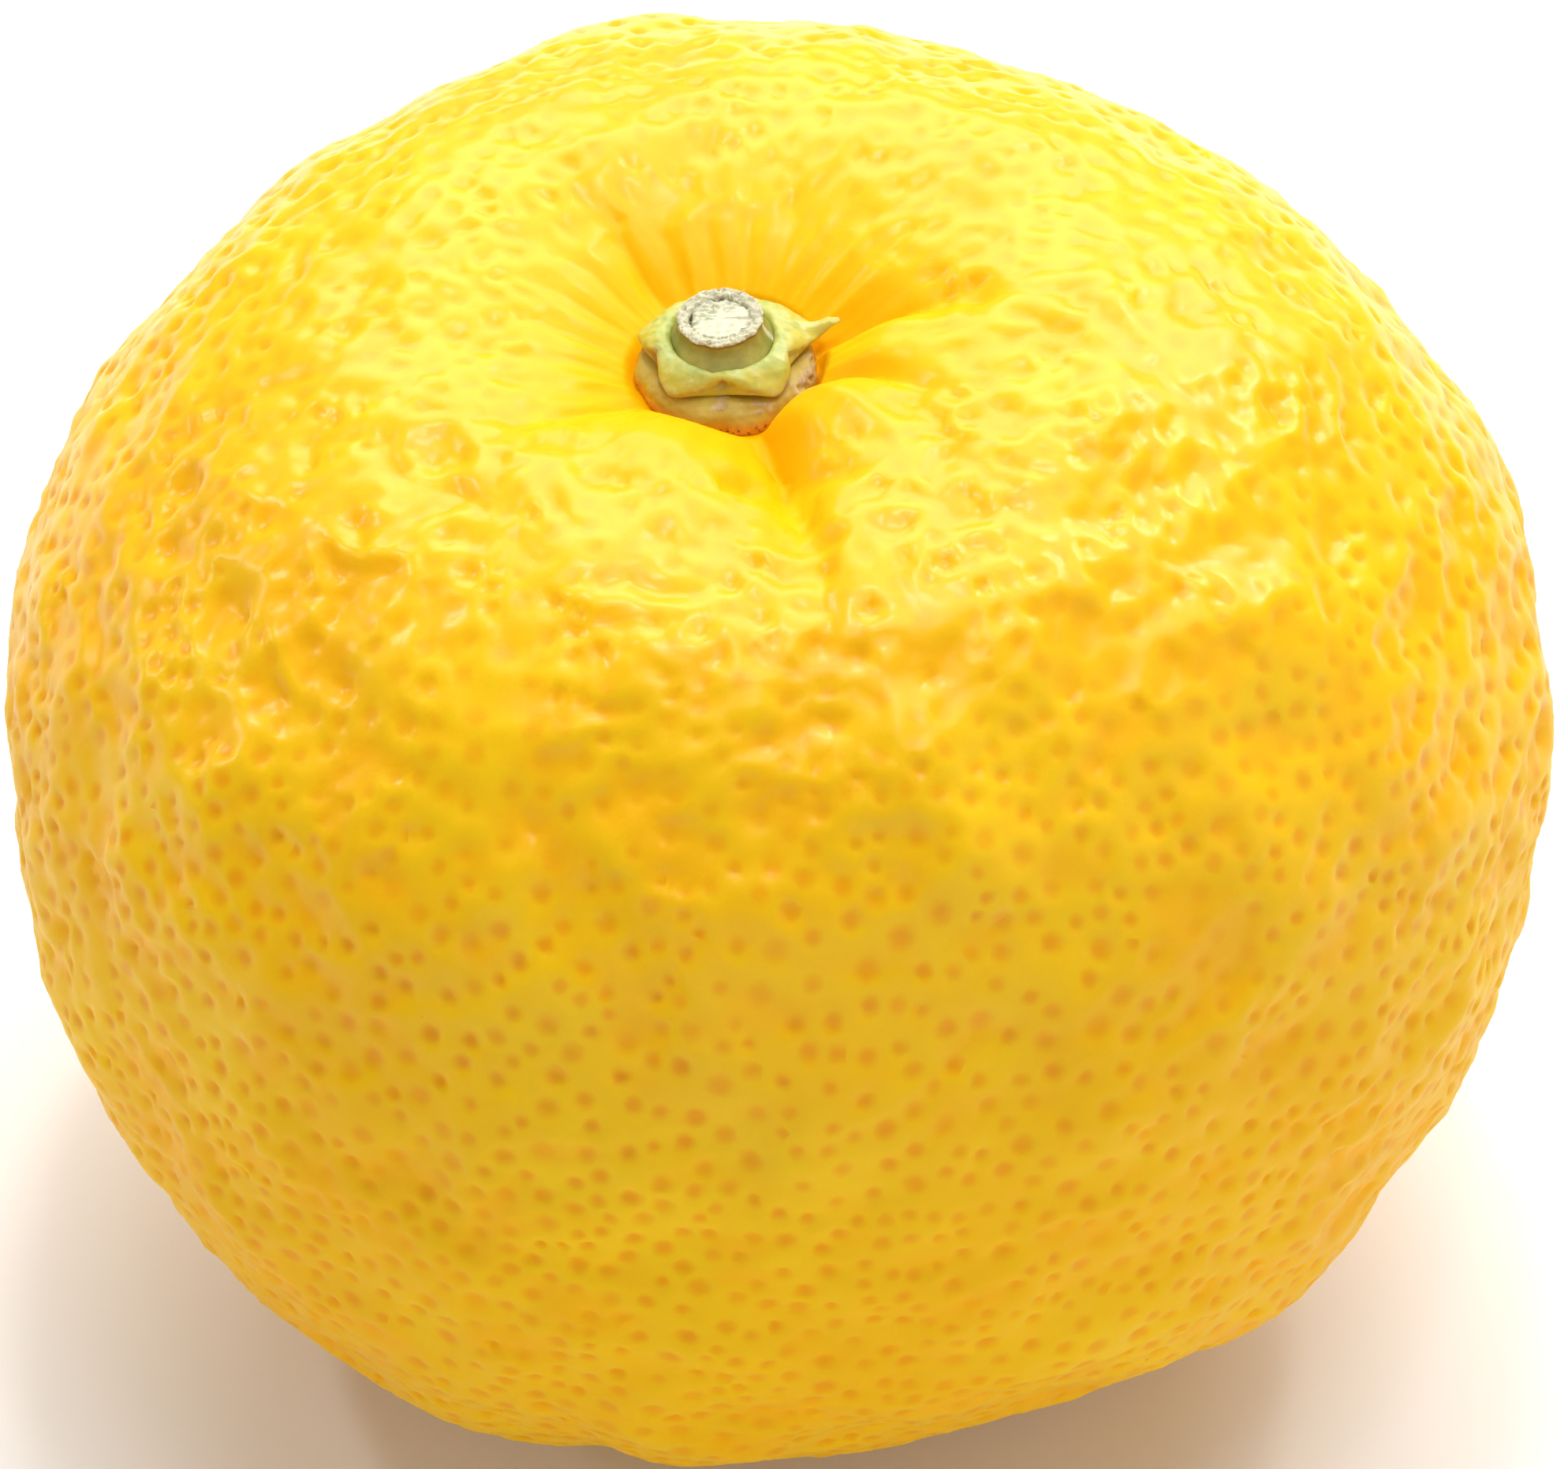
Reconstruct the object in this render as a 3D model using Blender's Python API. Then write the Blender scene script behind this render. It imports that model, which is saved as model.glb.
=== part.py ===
"""Yuzu: one whole fruit as picked, resting on its flower end.

Four bodies that grew one on the other: the fruit with its pitted rind, the receptacle in the
hollow at the stem end, the five-lobed calyx on it, and the short cut stem.
Metres, +Z up, with the origin under the middle of the fruit, on the surface that it rests on.
"""

import bmesh
import bpy
import numpy as np

MM = 0.001

# Body of the fruit, measured from its centre at the widest level
FRUIT_RADIUS = 34.8 * MM
CROWN_HEIGHT = 26.75 * MM
CROWN_POWER = 2.01
BASE_DEPTH = 32.3 * MM
BASE_POWER = 2.56
REST_LEVEL = -31.95 * MM
PLAN_WAVES = ((2, 0.010, -0.001), (3, 0.011, -0.011))

# Hollow round the stem, which stands a little off the middle
STEM_OFFSET = np.array([-1.9 * MM, 0.0])
HOLLOW_DEPTH = 9.5 * MM
HOLLOW_REACH = 12.0 * MM
HOLLOW_POWER = 1.3
SEAT_LEVEL = 18.25 * MM
SEAT_RADIUS = 3.95 * MM
SEAT_WALL = 0.6 * MM
SEAT_GROOVE = 0.1 * MM
WRINKLES = 24
WRINKLE_HEIGHT = 0.13 * MM
WRINKLE_START = 4.6 * MM
WRINKLE_END = 12.5 * MM

# Creases that run out from the stem: angle in degrees at the stem and at the far end, reach,
# depth, and the widths of the clockwise and the anticlockwise side
CREASES = (
    (-70.0, -77.0, 19.0 * MM, 3.2 * MM, 1.7 * MM, 0.8 * MM),
    (-28.0, -24.0, 10.0 * MM, 2.0 * MM, 0.8 * MM, 0.8 * MM),
    (22.0, 5.0, 13.0 * MM, 2.2 * MM, 0.7 * MM, 1.6 * MM),
    (125.0, 125.0, 12.0 * MM, 1.0 * MM, 1.4 * MM, 1.4 * MM),
    (-150.0, -145.0, 13.0 * MM, 1.4 * MM, 1.6 * MM, 1.2 * MM),
)
CREASE_START = 2.0 * MM
CREASE_RISE = 4.5 * MM

# Lobes between the creases: angle in degrees, distance from the stem, height and radius
LOBES = (
    (-47.0, 6.3 * MM, 1.5 * MM, 2.7 * MM),
    (-8.0, 6.8 * MM, 0.9 * MM, 2.3 * MM),
    (-112.0, 6.6 * MM, 0.9 * MM, 3.0 * MM),
)

# Swellings and hollows of the outline: place from the fruit's centre, height and radius, in mm
SWELLINGS = (
    ((35.4, -0.2, 3.6), -0.60, 4.0),
    ((32.8, 7.4, 8.3), 0.25, 3.0),
    ((28.5, 12.6, 11.7), -0.45, 5.0),
    ((11.0, 24.1, 16.5), -0.40, 8.0),
    ((-3.5, 26.2, 17.2), 0.40, 3.5),
    ((-20.0, 21.5, 14.3), -0.40, 8.0),
    ((-28.4, 13.8, 11.0), -0.45, 4.0),
    ((-31.1, 10.1, 9.0), 0.35, 3.0),
    ((-28.3, -17.7, -15.4), -0.40, 5.0),
    ((-15.0, -25.7, -21.5), 0.25, 5.0),
    ((9.0, -26.8, -22.4), -0.60, 6.0),
    ((21.6, -21.9, -19.7), 0.40, 4.0),
    ((34.2, -9.3, -8.0), -0.45, 5.0),
)

# Random unevenness of the rind: wavelength, height and seed
UNEVENNESS = ((11.0 * MM, 0.16 * MM, 6), (5.2 * MM, 0.11 * MM, 15))
WAVES_IN_A_FIELD = 28

# Scar of the flower in the middle of the base
FLOWER_SCAR_DEPTH = 0.8 * MM
FLOWER_SCAR_RADIUS = 1.5 * MM

# Oil pits, fewer and larger than life, among the points that carry the rind
POINT_SPACING = 1.21 * MM
POINT_CANDIDATES = 60000
POINT_SEED = 3
PIT_SPACING = 2.5 * MM
PIT_DEPTH = 0.50 * MM
PIT_RIM = 0.06 * MM

# Rings of points round the stem and round the middle of the base: radius in mm and count
SEAT_RINGS = ((0.0, 1), (2.1, 10), (3.95, 32))
HOLLOW_RINGS = ((4.4, 48), (5.1, 48), (6.0, 48), (7.1, 48), (8.4, 48), (9.8, 48))
BASE_RINGS = ((0.0, 1), (1.5, 6), (3.2, 9), (7.4, 12))
CREASE_STEP = 1.0 * MM

# Receptacle, calyx and stem, as radii and heights above the seat, in mm
GAP = 0.2
LEAN = (-0.11, 0.15)
RECEPTACLE_PROFILE = (
    (0.0, GAP), (3.2, GAP), (3.6, 0.34), (3.73, 0.62), (3.62, 0.86), (3.3, 1.0), (0.0, 1.0)
)
CALYX_PROFILE = (
    (0.0, 1.2), (2.6, 1.2), (3.12, 1.26), (3.4, 1.46), (3.42, 1.68), (3.2, 1.94),
    (2.85, 2.14), (2.5, 2.18), (2.3, 2.0), (2.2, 1.85), (0.0, 1.85)
)
STEM_PROFILE = (
    (0.0, 2.05), (1.98, 2.05), (2.1, 2.18), (1.98, 2.45), (1.86, 2.7), (1.86, 2.95),
    (1.78, 3.06), (1.6, 3.07), (1.46, 3.0), (1.38, 2.93), (0.0, 2.98)
)
SEPALS = 5
SEPAL_NOTCH_ANGLE = -90.0
NOTCH_DEPTH = 0.17
NOTCH_HALF_WIDTH = 9.0
SEPAL_SWELL = 0.035
TIP_ANGLE = 18.0
TIP_LENGTH = 1.2 * MM
TIP_HALF_WIDTH = 5.0
CALYX_STEPS = 60
RECEPTACLE_STEPS = 48
STEM_STEPS = 36
CUT_SLOPE = 0.06


def smooth(t):
    """Rises from 0 to 1 as t does, with level ends."""
    t = np.clip(t, 0.0, 1.0)
    return t * t * (3.0 - 2.0 * t)


def angle_between(a, b):
    """The turn from b to a in degrees, from -180 to 180."""
    return (a - b + 180.0) % 360.0 - 180.0


def random_field(points, wavelength, seed):
    """A smooth random height, mostly within -2 to 2, that changes over about a wavelength."""
    draw = np.random.default_rng(seed)
    ways = draw.normal(size=(WAVES_IN_A_FIELD, 3))
    ways /= np.linalg.norm(ways, axis=1)[:, None]
    lengths = wavelength * draw.uniform(0.75, 1.35, WAVES_IN_A_FIELD)
    phases = draw.uniform(0.0, 2.0 * np.pi, WAVES_IN_A_FIELD)
    turns = points @ (ways * (2.0 * np.pi / lengths)[:, None]).T + phases
    return np.cos(turns).sum(axis=1) * np.sqrt(2.0 / WAVES_IN_A_FIELD)


def plan_scale(angle):
    """How far the fruit's plan departs from a circle."""
    scale = np.ones_like(angle)
    for times, cosine, sine in PLAN_WAVES:
        scale += cosine * np.cos(times * angle) + sine * np.sin(times * angle)
    return scale


def plain_body(directions):
    """Points of a smooth flattened ball in these directions from its centre."""
    across = np.hypot(directions[:, 0], directions[:, 1])
    up = directions[:, 2]
    radius = FRUIT_RADIUS * plan_scale(np.arctan2(directions[:, 1], directions[:, 0]))
    height = np.where(up > 0, CROWN_HEIGHT, BASE_DEPTH)
    power = np.where(up > 0, CROWN_POWER, BASE_POWER)
    reach = ((across / radius) ** power + (np.abs(up) / height) ** power) ** (-1.0 / power)
    return directions * reach[:, None]


def round_the_stem(points):
    """Distance from the stem's axis, and angle round it in degrees."""
    x, y = points[:, 0] - STEM_OFFSET[0], points[:, 1] - STEM_OFFSET[1]
    return np.hypot(x, y), np.degrees(np.arctan2(y, x))


def crown_heights(points):
    """Heights of the crown, sunk towards the stem, with its creases and lobes."""
    out, angle = round_the_stem(points)
    height = points[:, 2] - HOLLOW_DEPTH * np.exp(-((out / HOLLOW_REACH) ** HOLLOW_POWER))
    for near_angle, far_angle, reach, depth, clockwise, anticlockwise in CREASES:
        middle = near_angle + (far_angle - near_angle) * np.clip(out / reach, 0.0, 1.0)
        turn = np.radians(angle_between(angle, middle))
        aside = out * np.sin(np.clip(turn, -np.pi / 2, np.pi / 2))
        width = np.where(aside > 0.0, anticlockwise, clockwise)
        along = np.clip(1.0 - (out / reach) ** 2, 0.0, 1.0)
        along *= smooth((out - CREASE_START) / CREASE_RISE)
        height -= depth * along * np.exp(-np.abs(aside) / width)
    for lobe_angle, distance, rise, radius in LOBES:
        turn = np.radians(lobe_angle)
        centre = STEM_OFFSET + distance * np.array([np.cos(turn), np.sin(turn)])
        away = np.hypot(points[:, 0] - centre[0], points[:, 1] - centre[1])
        height += rise * np.exp(-((away / radius) ** 2))
    wrinkled = smooth((out - WRINKLE_START) / (1.5 * MM)) * smooth((WRINKLE_END - out) / (6 * MM))
    height += WRINKLE_HEIGHT * wrinkled * np.cos(np.radians(WRINKLES * angle))
    in_hollow = out < HOLLOW_RINGS[-1][0] * MM
    height = np.where(in_hollow, np.maximum(height, SEAT_LEVEL + SEAT_GROOVE), height)
    wall = smooth((out - SEAT_RADIUS) / SEAT_WALL)
    return SEAT_LEVEL + (height - SEAT_LEVEL) * wall


def fruit_surface(directions):
    """Points of the rind without its pits, in these directions from the fruit's centre."""
    points = plain_body(directions)
    out, _ = round_the_stem(points)
    on_crown = points[:, 2] > 0.0
    swell = np.zeros(len(points))
    for wavelength, height, seed in UNEVENNESS:
        swell += height * random_field(points, wavelength, seed)
    for place, height, radius in SWELLINGS:
        away = np.linalg.norm(points - np.array(place) * MM, axis=1)
        swell += height * MM * np.exp(-((away / (radius * MM)) ** 2))
    swell *= np.where(on_crown, smooth((out - SEAT_RADIUS) / (6 * MM)), 1.0)
    from_axis = np.hypot(points[:, 0], points[:, 1])
    swell *= np.where(on_crown, 1.0, smooth((from_axis - 5 * MM) / (7 * MM)))
    sunk = crown_heights(points)
    share = smooth(directions[:, 2] * 4.0)
    points[:, 2] = np.where(on_crown, points[:, 2] + (sunk - points[:, 2]) * share, points[:, 2])
    points += directions * swell[:, None]
    level = np.maximum(points[:, 2], REST_LEVEL)
    scar = FLOWER_SCAR_DEPTH * np.exp(-((from_axis / FLOWER_SCAR_RADIUS) ** 2))
    points[:, 2] = np.where(on_crown, points[:, 2], level + scar * (scar > 0.02 * MM))
    return points


def outward_normals(directions):
    """Unit normals of the rind, from two small steps across it."""
    step = 0.002
    aside = np.cross(directions, np.where(np.abs(directions[:, :1]) < 0.8, [1, 0, 0], [0, 1, 0]))
    aside /= np.linalg.norm(aside, axis=1)[:, None]
    along = np.cross(directions, aside)
    here = fruit_surface(directions)
    first = fruit_surface(unit(directions + step * aside)) - here
    second = fruit_surface(unit(directions + step * along)) - here
    return unit(np.cross(first, second))


def unit(vectors):
    return vectors / np.linalg.norm(vectors, axis=1)[:, None]


def direction_of_crown(across):
    """Directions from the fruit's centre to points of the crown at these plan positions."""
    radius = FRUIT_RADIUS * plan_scale(np.arctan2(across[:, 1], across[:, 0]))
    share = np.hypot(across[:, 0], across[:, 1]) / radius
    height = CROWN_HEIGHT * (1.0 - share**CROWN_POWER) ** (1.0 / CROWN_POWER)
    return unit(np.column_stack([across, height]))


def ring_points(rings):
    """Plan positions of rings of points round the origin."""
    points = []
    for distance, count in rings:
        turns = np.arange(count) * 2.0 * np.pi / count
        points.append(distance * MM * np.column_stack([np.cos(turns), np.sin(turns)]))
    return np.concatenate(points)


def hollow_directions():
    """Directions of the rings that carry the seat and its wall, and of points along creases."""
    across = [ring_points(SEAT_RINGS + HOLLOW_RINGS)]
    start = HOLLOW_RINGS[-1][0] * MM + CREASE_STEP
    for near_angle, far_angle, reach, *_ in CREASES:
        for out in np.arange(start, reach, CREASE_STEP):
            turn = np.radians(near_angle + (far_angle - near_angle) * out / reach)
            across.append([[out * np.cos(turn), out * np.sin(turn)]])
    return direction_of_crown(STEM_OFFSET + np.concatenate(across))


def base_directions():
    """Directions of the rings that carry the flat of the base and the scar of the flower."""
    across = ring_points(BASE_RINGS)
    return unit(np.column_stack([across, np.full(len(across), REST_LEVEL)]))


def spread_apart(points, spacing, free):
    """Indices of free points, in their order, that keep this distance from each one before."""
    free = free.copy()
    kept = []
    for index in range(len(points)):
        if free[index]:
            kept.append(index)
            free &= ((points - points[index]) ** 2).sum(axis=1) > spacing**2
    return np.array(kept)


def rind_directions(fixed):
    """Directions of the points, spread at random, that carry the rind between the fixed ones."""
    draw = np.random.default_rng(POINT_SEED)
    directions = unit(draw.normal(size=(POINT_CANDIDATES, 3)))
    points = plain_body(directions)
    out, _ = round_the_stem(points)
    from_axis = np.hypot(points[:, 0], points[:, 1])
    on_crown = points[:, 2] > 0.0
    free = np.where(on_crown, out > HOLLOW_RINGS[-1][0] * MM, from_axis > BASE_RINGS[-1][0] * MM)
    for place in plain_body(fixed):
        free &= ((points - place) ** 2).sum(axis=1) > (0.8 * POINT_SPACING) ** 2
    return directions[spread_apart(points, POINT_SPACING, free)]


def finished(name, mesh_data, material, parent):
    """An object with this mesh and material, shaded smooth, in its place under the parent."""
    mesh = bpy.data.meshes.new(name)
    bmesh.ops.recalc_face_normals(mesh_data, faces=mesh_data.faces)
    mesh_data.to_mesh(mesh)
    mesh_data.free()
    mesh.shade_smooth()
    mesh.materials.append(material)
    body = bpy.data.objects.new(name, mesh)
    bpy.context.scene.collection.objects.link(body)
    body.parent = parent
    return body


def make_fruit(material, parent):
    """The fruit: a net of points over the whole rind, of which every fifth or so is a pit."""
    fixed = np.concatenate([hollow_directions(), base_directions()])
    directions = np.concatenate([fixed, rind_directions(fixed)])
    points = fruit_surface(directions)
    out, _ = round_the_stem(points)
    on_crown = directions[:, 2] > 0.0
    pitted = np.where(on_crown, smooth((out - 6 * MM) / (7 * MM)), 1.0)
    pitted *= smooth((points[:, 2] - REST_LEVEL) / (1.5 * MM))
    pits = spread_apart(points, PIT_SPACING, pitted > 0.05)
    relief = np.full(len(points), PIT_RIM)
    relief[pits] = -PIT_DEPTH
    points += outward_normals(directions) * (relief * pitted)[:, None]

    net = bmesh.new()
    for direction in directions:
        net.verts.new(direction)
    bmesh.ops.convex_hull(net, input=net.verts)
    for vertex, point in zip(net.verts, points):
        vertex.co = point
    return finished("fruit", net, material, parent)


def turned(profile, steps):
    """A body turned from a profile of radii and heights above the seat, in mm."""
    body = bmesh.new()
    ring = [body.verts.new((radius * MM, 0.0, height * MM)) for radius, height in profile]
    edges = [body.edges.new(pair) for pair in zip(ring, ring[1:])]
    bmesh.ops.spin(
        body, geom=ring + edges, cent=(0, 0, 0), axis=(0, 0, 1), angle=2.0 * np.pi,
        steps=steps, use_merge=True
    )
    bmesh.ops.remove_doubles(body, verts=body.verts, dist=0.001 * MM)
    return body


def seated(name, body, material, parent):
    """The finished body, leaning as the stem does, on the seat."""
    for vertex in body.verts:
        vertex.co.x += LEAN[0] * vertex.co.z
        vertex.co.y += LEAN[1] * vertex.co.z
    piece = finished(name, body, material, parent)
    piece.location = (STEM_OFFSET[0], STEM_OFFSET[1], SEAT_LEVEL)
    return piece


def make_receptacle(material, parent):
    """The corky disc that the fruit hung from."""
    disc = turned(RECEPTACLE_PROFILE, RECEPTACLE_STEPS)
    return seated("receptacle", disc, material, parent)


def make_calyx(material, parent):
    """Five broad sepals grown together, with a notch between each two and one drawn-out tip."""
    crown = turned(CALYX_PROFILE, CALYX_STEPS)
    ridge = max(height for _, height in CALYX_PROFILE) * MM
    cup = STEM_PROFILE[1][0] * MM
    rim = max(radius for radius, _ in CALYX_PROFILE) * MM
    for vertex in crown.verts:
        out = vertex.co.xy.length
        if out < cup:
            continue
        angle = np.degrees(np.arctan2(vertex.co.y, vertex.co.x))
        share = (out - cup) / (rim - cup)
        from_notch = angle_between(angle * SEPALS, SEPAL_NOTCH_ANGLE * SEPALS) / SEPALS
        notch = np.exp(-((from_notch / NOTCH_HALF_WIDTH) ** 2))
        swell = SEPAL_SWELL * (1.0 - np.cos(np.radians(from_notch * SEPALS))) / 2.0
        grow = 1.0 + share * (swell - NOTCH_DEPTH * notch)
        tip = np.exp(-((angle_between(angle, TIP_ANGLE) / TIP_HALF_WIDTH) ** 2)) * share**3
        grow += TIP_LENGTH / out * tip
        vertex.co.x *= grow
        vertex.co.y *= grow
        top_share = (vertex.co.z - CALYX_PROFILE[0][1] * MM) / (ridge - CALYX_PROFILE[0][1] * MM)
        vertex.co.z += top_share * MM * (0.12 * tip - 0.22 * notch)
    return seated("calyx", crown, material, parent)


def make_stem(material, parent):
    """The stump of the stem, with a rim of bark standing round the wood of the cut."""
    stump = turned(STEM_PROFILE, STEM_STEPS)
    foot = STEM_PROFILE[0][1] * MM
    top = max(height for _, height in STEM_PROFILE) * MM
    for vertex in stump.verts:
        vertex.co.z += CUT_SLOPE * vertex.co.x * smooth((vertex.co.z - foot) / (top - foot))
    return seated("stem", stump, material, parent)


def plain_material(name, colour, roughness):
    material = bpy.data.materials.new(name)
    material.use_nodes = True
    shader = material.node_tree.nodes["Principled BSDF"]
    shader.inputs["Base Color"].default_value = (*colour, 1.0)
    shader.inputs["Roughness"].default_value = roughness
    shader.inputs["Metallic"].default_value = 0.0
    return material


def clear_scene():
    for old in list(bpy.data.objects):
        bpy.data.objects.remove(old)


def main():
    clear_scene()
    yuzu = bpy.data.objects.new("yuzu", None)
    bpy.context.scene.collection.objects.link(yuzu)
    fruit = make_fruit(plain_material("rind", (0.88, 0.52, 0.02), 0.35), yuzu)
    make_receptacle(plain_material("cork", (0.30, 0.17, 0.04), 0.7), yuzu)
    make_calyx(plain_material("sepal", (0.42, 0.45, 0.10), 0.5), yuzu)
    make_stem(plain_material("bark", (0.28, 0.30, 0.10), 0.7), yuzu)
    corners = np.array([vertex.co for vertex in fruit.data.vertices])
    middle = (corners.min(axis=0) + corners.max(axis=0)) / 2.0
    yuzu.location = (-middle[0], -middle[1], -REST_LEVEL)


main()
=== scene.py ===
"""Yuzu: the looks of one whole fruit as picked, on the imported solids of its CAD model.

The rind, the receptacle, the calyx and the stem are made again with the detail of the real
fruit, each in the place of its solid, and a plain pale stage is set for the camera.
Metres, +Z up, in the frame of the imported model.
"""

import math

import bmesh
import bpy
import numpy as np
from bpy.props import FloatProperty, FloatVectorProperty, PointerProperty
from bpy.types import Operator, Panel, PropertyGroup
from mathutils import Euler, Matrix, Vector
from mathutils.kdtree import KDTree


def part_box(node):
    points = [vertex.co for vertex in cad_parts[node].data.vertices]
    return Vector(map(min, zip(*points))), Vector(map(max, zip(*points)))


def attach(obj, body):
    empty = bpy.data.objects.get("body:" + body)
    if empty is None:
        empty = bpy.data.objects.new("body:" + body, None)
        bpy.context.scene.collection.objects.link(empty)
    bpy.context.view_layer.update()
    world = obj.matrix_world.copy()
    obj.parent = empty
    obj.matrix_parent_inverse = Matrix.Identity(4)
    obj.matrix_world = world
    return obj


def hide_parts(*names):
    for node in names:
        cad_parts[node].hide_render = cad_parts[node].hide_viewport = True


bl_info = {
    "name": "Yuzu",
    "version": (1, 0, 0),
    "blender": (4, 5, 0),
    "location": "View3D > Sidebar > Yuzu",
    "description": "A whole yuzu with its pitted rind, receptacle, calyx and cut stem",
    "category": "Object",
}

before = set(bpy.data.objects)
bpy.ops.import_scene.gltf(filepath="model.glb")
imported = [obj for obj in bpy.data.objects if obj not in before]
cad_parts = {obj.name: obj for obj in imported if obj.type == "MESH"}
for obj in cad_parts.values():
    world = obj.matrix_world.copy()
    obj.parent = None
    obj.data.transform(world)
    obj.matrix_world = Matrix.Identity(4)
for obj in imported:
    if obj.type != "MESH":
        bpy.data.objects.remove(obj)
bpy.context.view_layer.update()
MM = 0.001

# Body of the fruit, measured from its centre at the widest level
FRUIT_RADIUS = 34.8 * MM
CROWN_HEIGHT = 26.75 * MM
CROWN_POWER = 2.01
BASE_DEPTH = 32.3 * MM
BASE_POWER = 2.56
REST_LEVEL = -31.95 * MM
PLAN_WAVES = ((2, 0.010, -0.001), (3, 0.011, -0.011))

# Hollow round the stem, which stands a little off the middle
STEM_OFFSET = np.array([-1.9 * MM, 0.0])
HOLLOW_DEPTH = 9.5 * MM
HOLLOW_REACH = 12.0 * MM
HOLLOW_POWER = 1.3
SEAT_LEVEL = 18.25 * MM
SEAT_RADIUS = 3.95 * MM
SEAT_WALL = 0.6 * MM
SEAT_GROOVE = 0.1 * MM
HOLLOW_EDGE = 9.8 * MM
WRINKLES = 24
WRINKLE_HEIGHT = 0.06 * MM
WRINKLE_START = 4.6 * MM
WRINKLE_END = 12.5 * MM

# Creases that run out from the stem: angle in degrees at the stem and at the far end, reach,
# depth, and the widths of the clockwise and the anticlockwise side
CREASES = (
    (-70.0, -77.0, 19.0 * MM, 3.2 * MM, 1.7 * MM, 0.8 * MM),
    (-28.0, -24.0, 10.0 * MM, 2.0 * MM, 0.8 * MM, 0.8 * MM),
    (22.0, 5.0, 13.0 * MM, 2.2 * MM, 0.7 * MM, 1.6 * MM),
    (125.0, 125.0, 12.0 * MM, 1.0 * MM, 1.4 * MM, 1.4 * MM),
    (-150.0, -145.0, 13.0 * MM, 1.4 * MM, 1.6 * MM, 1.2 * MM),
)
CREASE_START = 2.0 * MM
CREASE_RISE = 4.5 * MM

# Lobes between the creases: angle in degrees, distance from the stem, height and radius
LOBES = (
    (-47.0, 6.3 * MM, 1.5 * MM, 2.7 * MM),
    (-8.0, 6.8 * MM, 0.9 * MM, 2.3 * MM),
    (-112.0, 6.6 * MM, 0.9 * MM, 3.0 * MM),
)

# Swellings and hollows of the outline: place from the fruit's centre, height and radius, in mm
SWELLINGS = (
    ((35.4, -0.2, 3.6), -0.60, 4.0),
    ((32.8, 7.4, 8.3), 0.25, 3.0),
    ((28.5, 12.6, 11.7), -0.45, 5.0),
    ((11.0, 24.1, 16.5), -0.40, 8.0),
    ((-3.5, 26.2, 17.2), 0.40, 3.5),
    ((-20.0, 21.5, 14.3), -0.40, 8.0),
    ((-28.4, 13.8, 11.0), -0.45, 4.0),
    ((-31.1, 10.1, 9.0), 0.35, 3.0),
    ((-28.3, -17.7, -15.4), -0.40, 5.0),
    ((-15.0, -25.7, -21.5), 0.25, 5.0),
    ((9.0, -26.8, -22.4), -0.60, 6.0),
    ((21.6, -21.9, -19.7), 0.40, 4.0),
    ((34.2, -9.3, -8.0), -0.45, 5.0),
)

# Random unevenness of the rind: wavelength, height and seed
UNEVENNESS = ((11.0 * MM, 0.16 * MM, 6), (5.2 * MM, 0.11 * MM, 15))
WAVES_IN_A_FIELD = 28
# How far the edges of specks wander
SPECK_WANDER = (0.4 * MM, 0.4 * MM, 0.4 * MM)

# Scar of the flower in the middle of the base
FLOWER_SCAR_DEPTH = 0.8 * MM
FLOWER_SCAR_RADIUS = 1.5 * MM

# Net of the rind: rings of points round the stem and round the middle of the base, as radius
# in mm and count, and how far from them the oil pits keep
SEAT_RINGS = (
    (0.0, 1), (1.6, 10), (3.0, 24), (3.95, 70), (4.38, 88), (4.86, 96), (5.4, 96), (6.0, 94),
    (6.65, 90), (7.35, 86), (8.1, 80)
)
BASE_RINGS = ((0.0, 1), (1.0, 6), (2.0, 11), (3.2, 16))
RING_MARGIN = 0.8 * MM
NET_SPREAD = 1.7

# Places of the pits: how many are tried, their seed, how much their gaps vary, and how much
# longer and narrower the gaps are by the stem, between these distances from it
PIT_CANDIDATES = 60000
PIT_SEED = 11
GAP_VARIETY = 0.28
PIT_STRETCH = 2.1
PIT_CROWDING = 0.30
STRETCH_NEAR = 8.0 * MM
STRETCH_FAR = 19.0 * MM

# Ridges between the pits: wavelength of the field whose zero lines they follow, share of the
# height, how sharp their crests are, and seed
RIDGES = ((4.1 * MM, 0.85, 0.62, 21), (2.4 * MM, 0.50, 0.70, 22))
RIDGE_LEVEL = 0.85
# Small bumps on them: height, wavelength and seed
SMALL_BUMP_HEIGHT = 0.016 * MM
SMALL_BUMPS = (1.25 * MM, 24)
# Where the front is, how far it reaches in degrees and how much it draws out the ridges, and how
# much the back and the lower front calm them
FRONT_ANGLE = -90.0
FRONT_WIDTH = 75.0
FRONT_STRETCH = 0.45
BACK_CALM = 0.5
FRONT_CALM = 0.55
FRONT_CALM_WIDTH = 50.0
FRONT_CALM_BELOW = 20 * MM

# Dents of the pits: how far from the stem they start, how their sizes and depths vary, how wide
# a pit of size 1 may be and how far it may run past the middle to its neighbour, how many dents
# overlap in one place, and how much shallower they are on the crown
PITS_START = 6 * MM
PIT_SIZES = (0.75, 1.15)
PIT_DEPTHS = (0.45, 1.3)
PIT_REACH = 0.80 * MM
PIT_OVERLAP = 0.12 * MM
NEAREST_PITS = 5
CROWN_SHALLOWER = 0.1

# Fine wrinkles round the stem: how many, how far they wobble, over which length, how far out they
# reach, and how many degrees to each side of the back
FINE_WRINKLES = 47
WOBBLE = 1.3
WOBBLE_LENGTH = 5.0 * MM
WOBBLE_SEED = 31
FINE_WRINKLE_END = 11.0 * MM
BACK_ANGLE = 90.0
FINE_WRINKLE_SIDE = 145.0

# Button: the gap under it, how it leans for its height, and where its receptacle is widest
GAP = 0.2 * MM
LEAN = np.array([-0.11, 0.15])
RECEPTACLE_WIDEST_AT = 0.62 * MM


# ---------------------------------------------------------------- shape of the fruit


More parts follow.
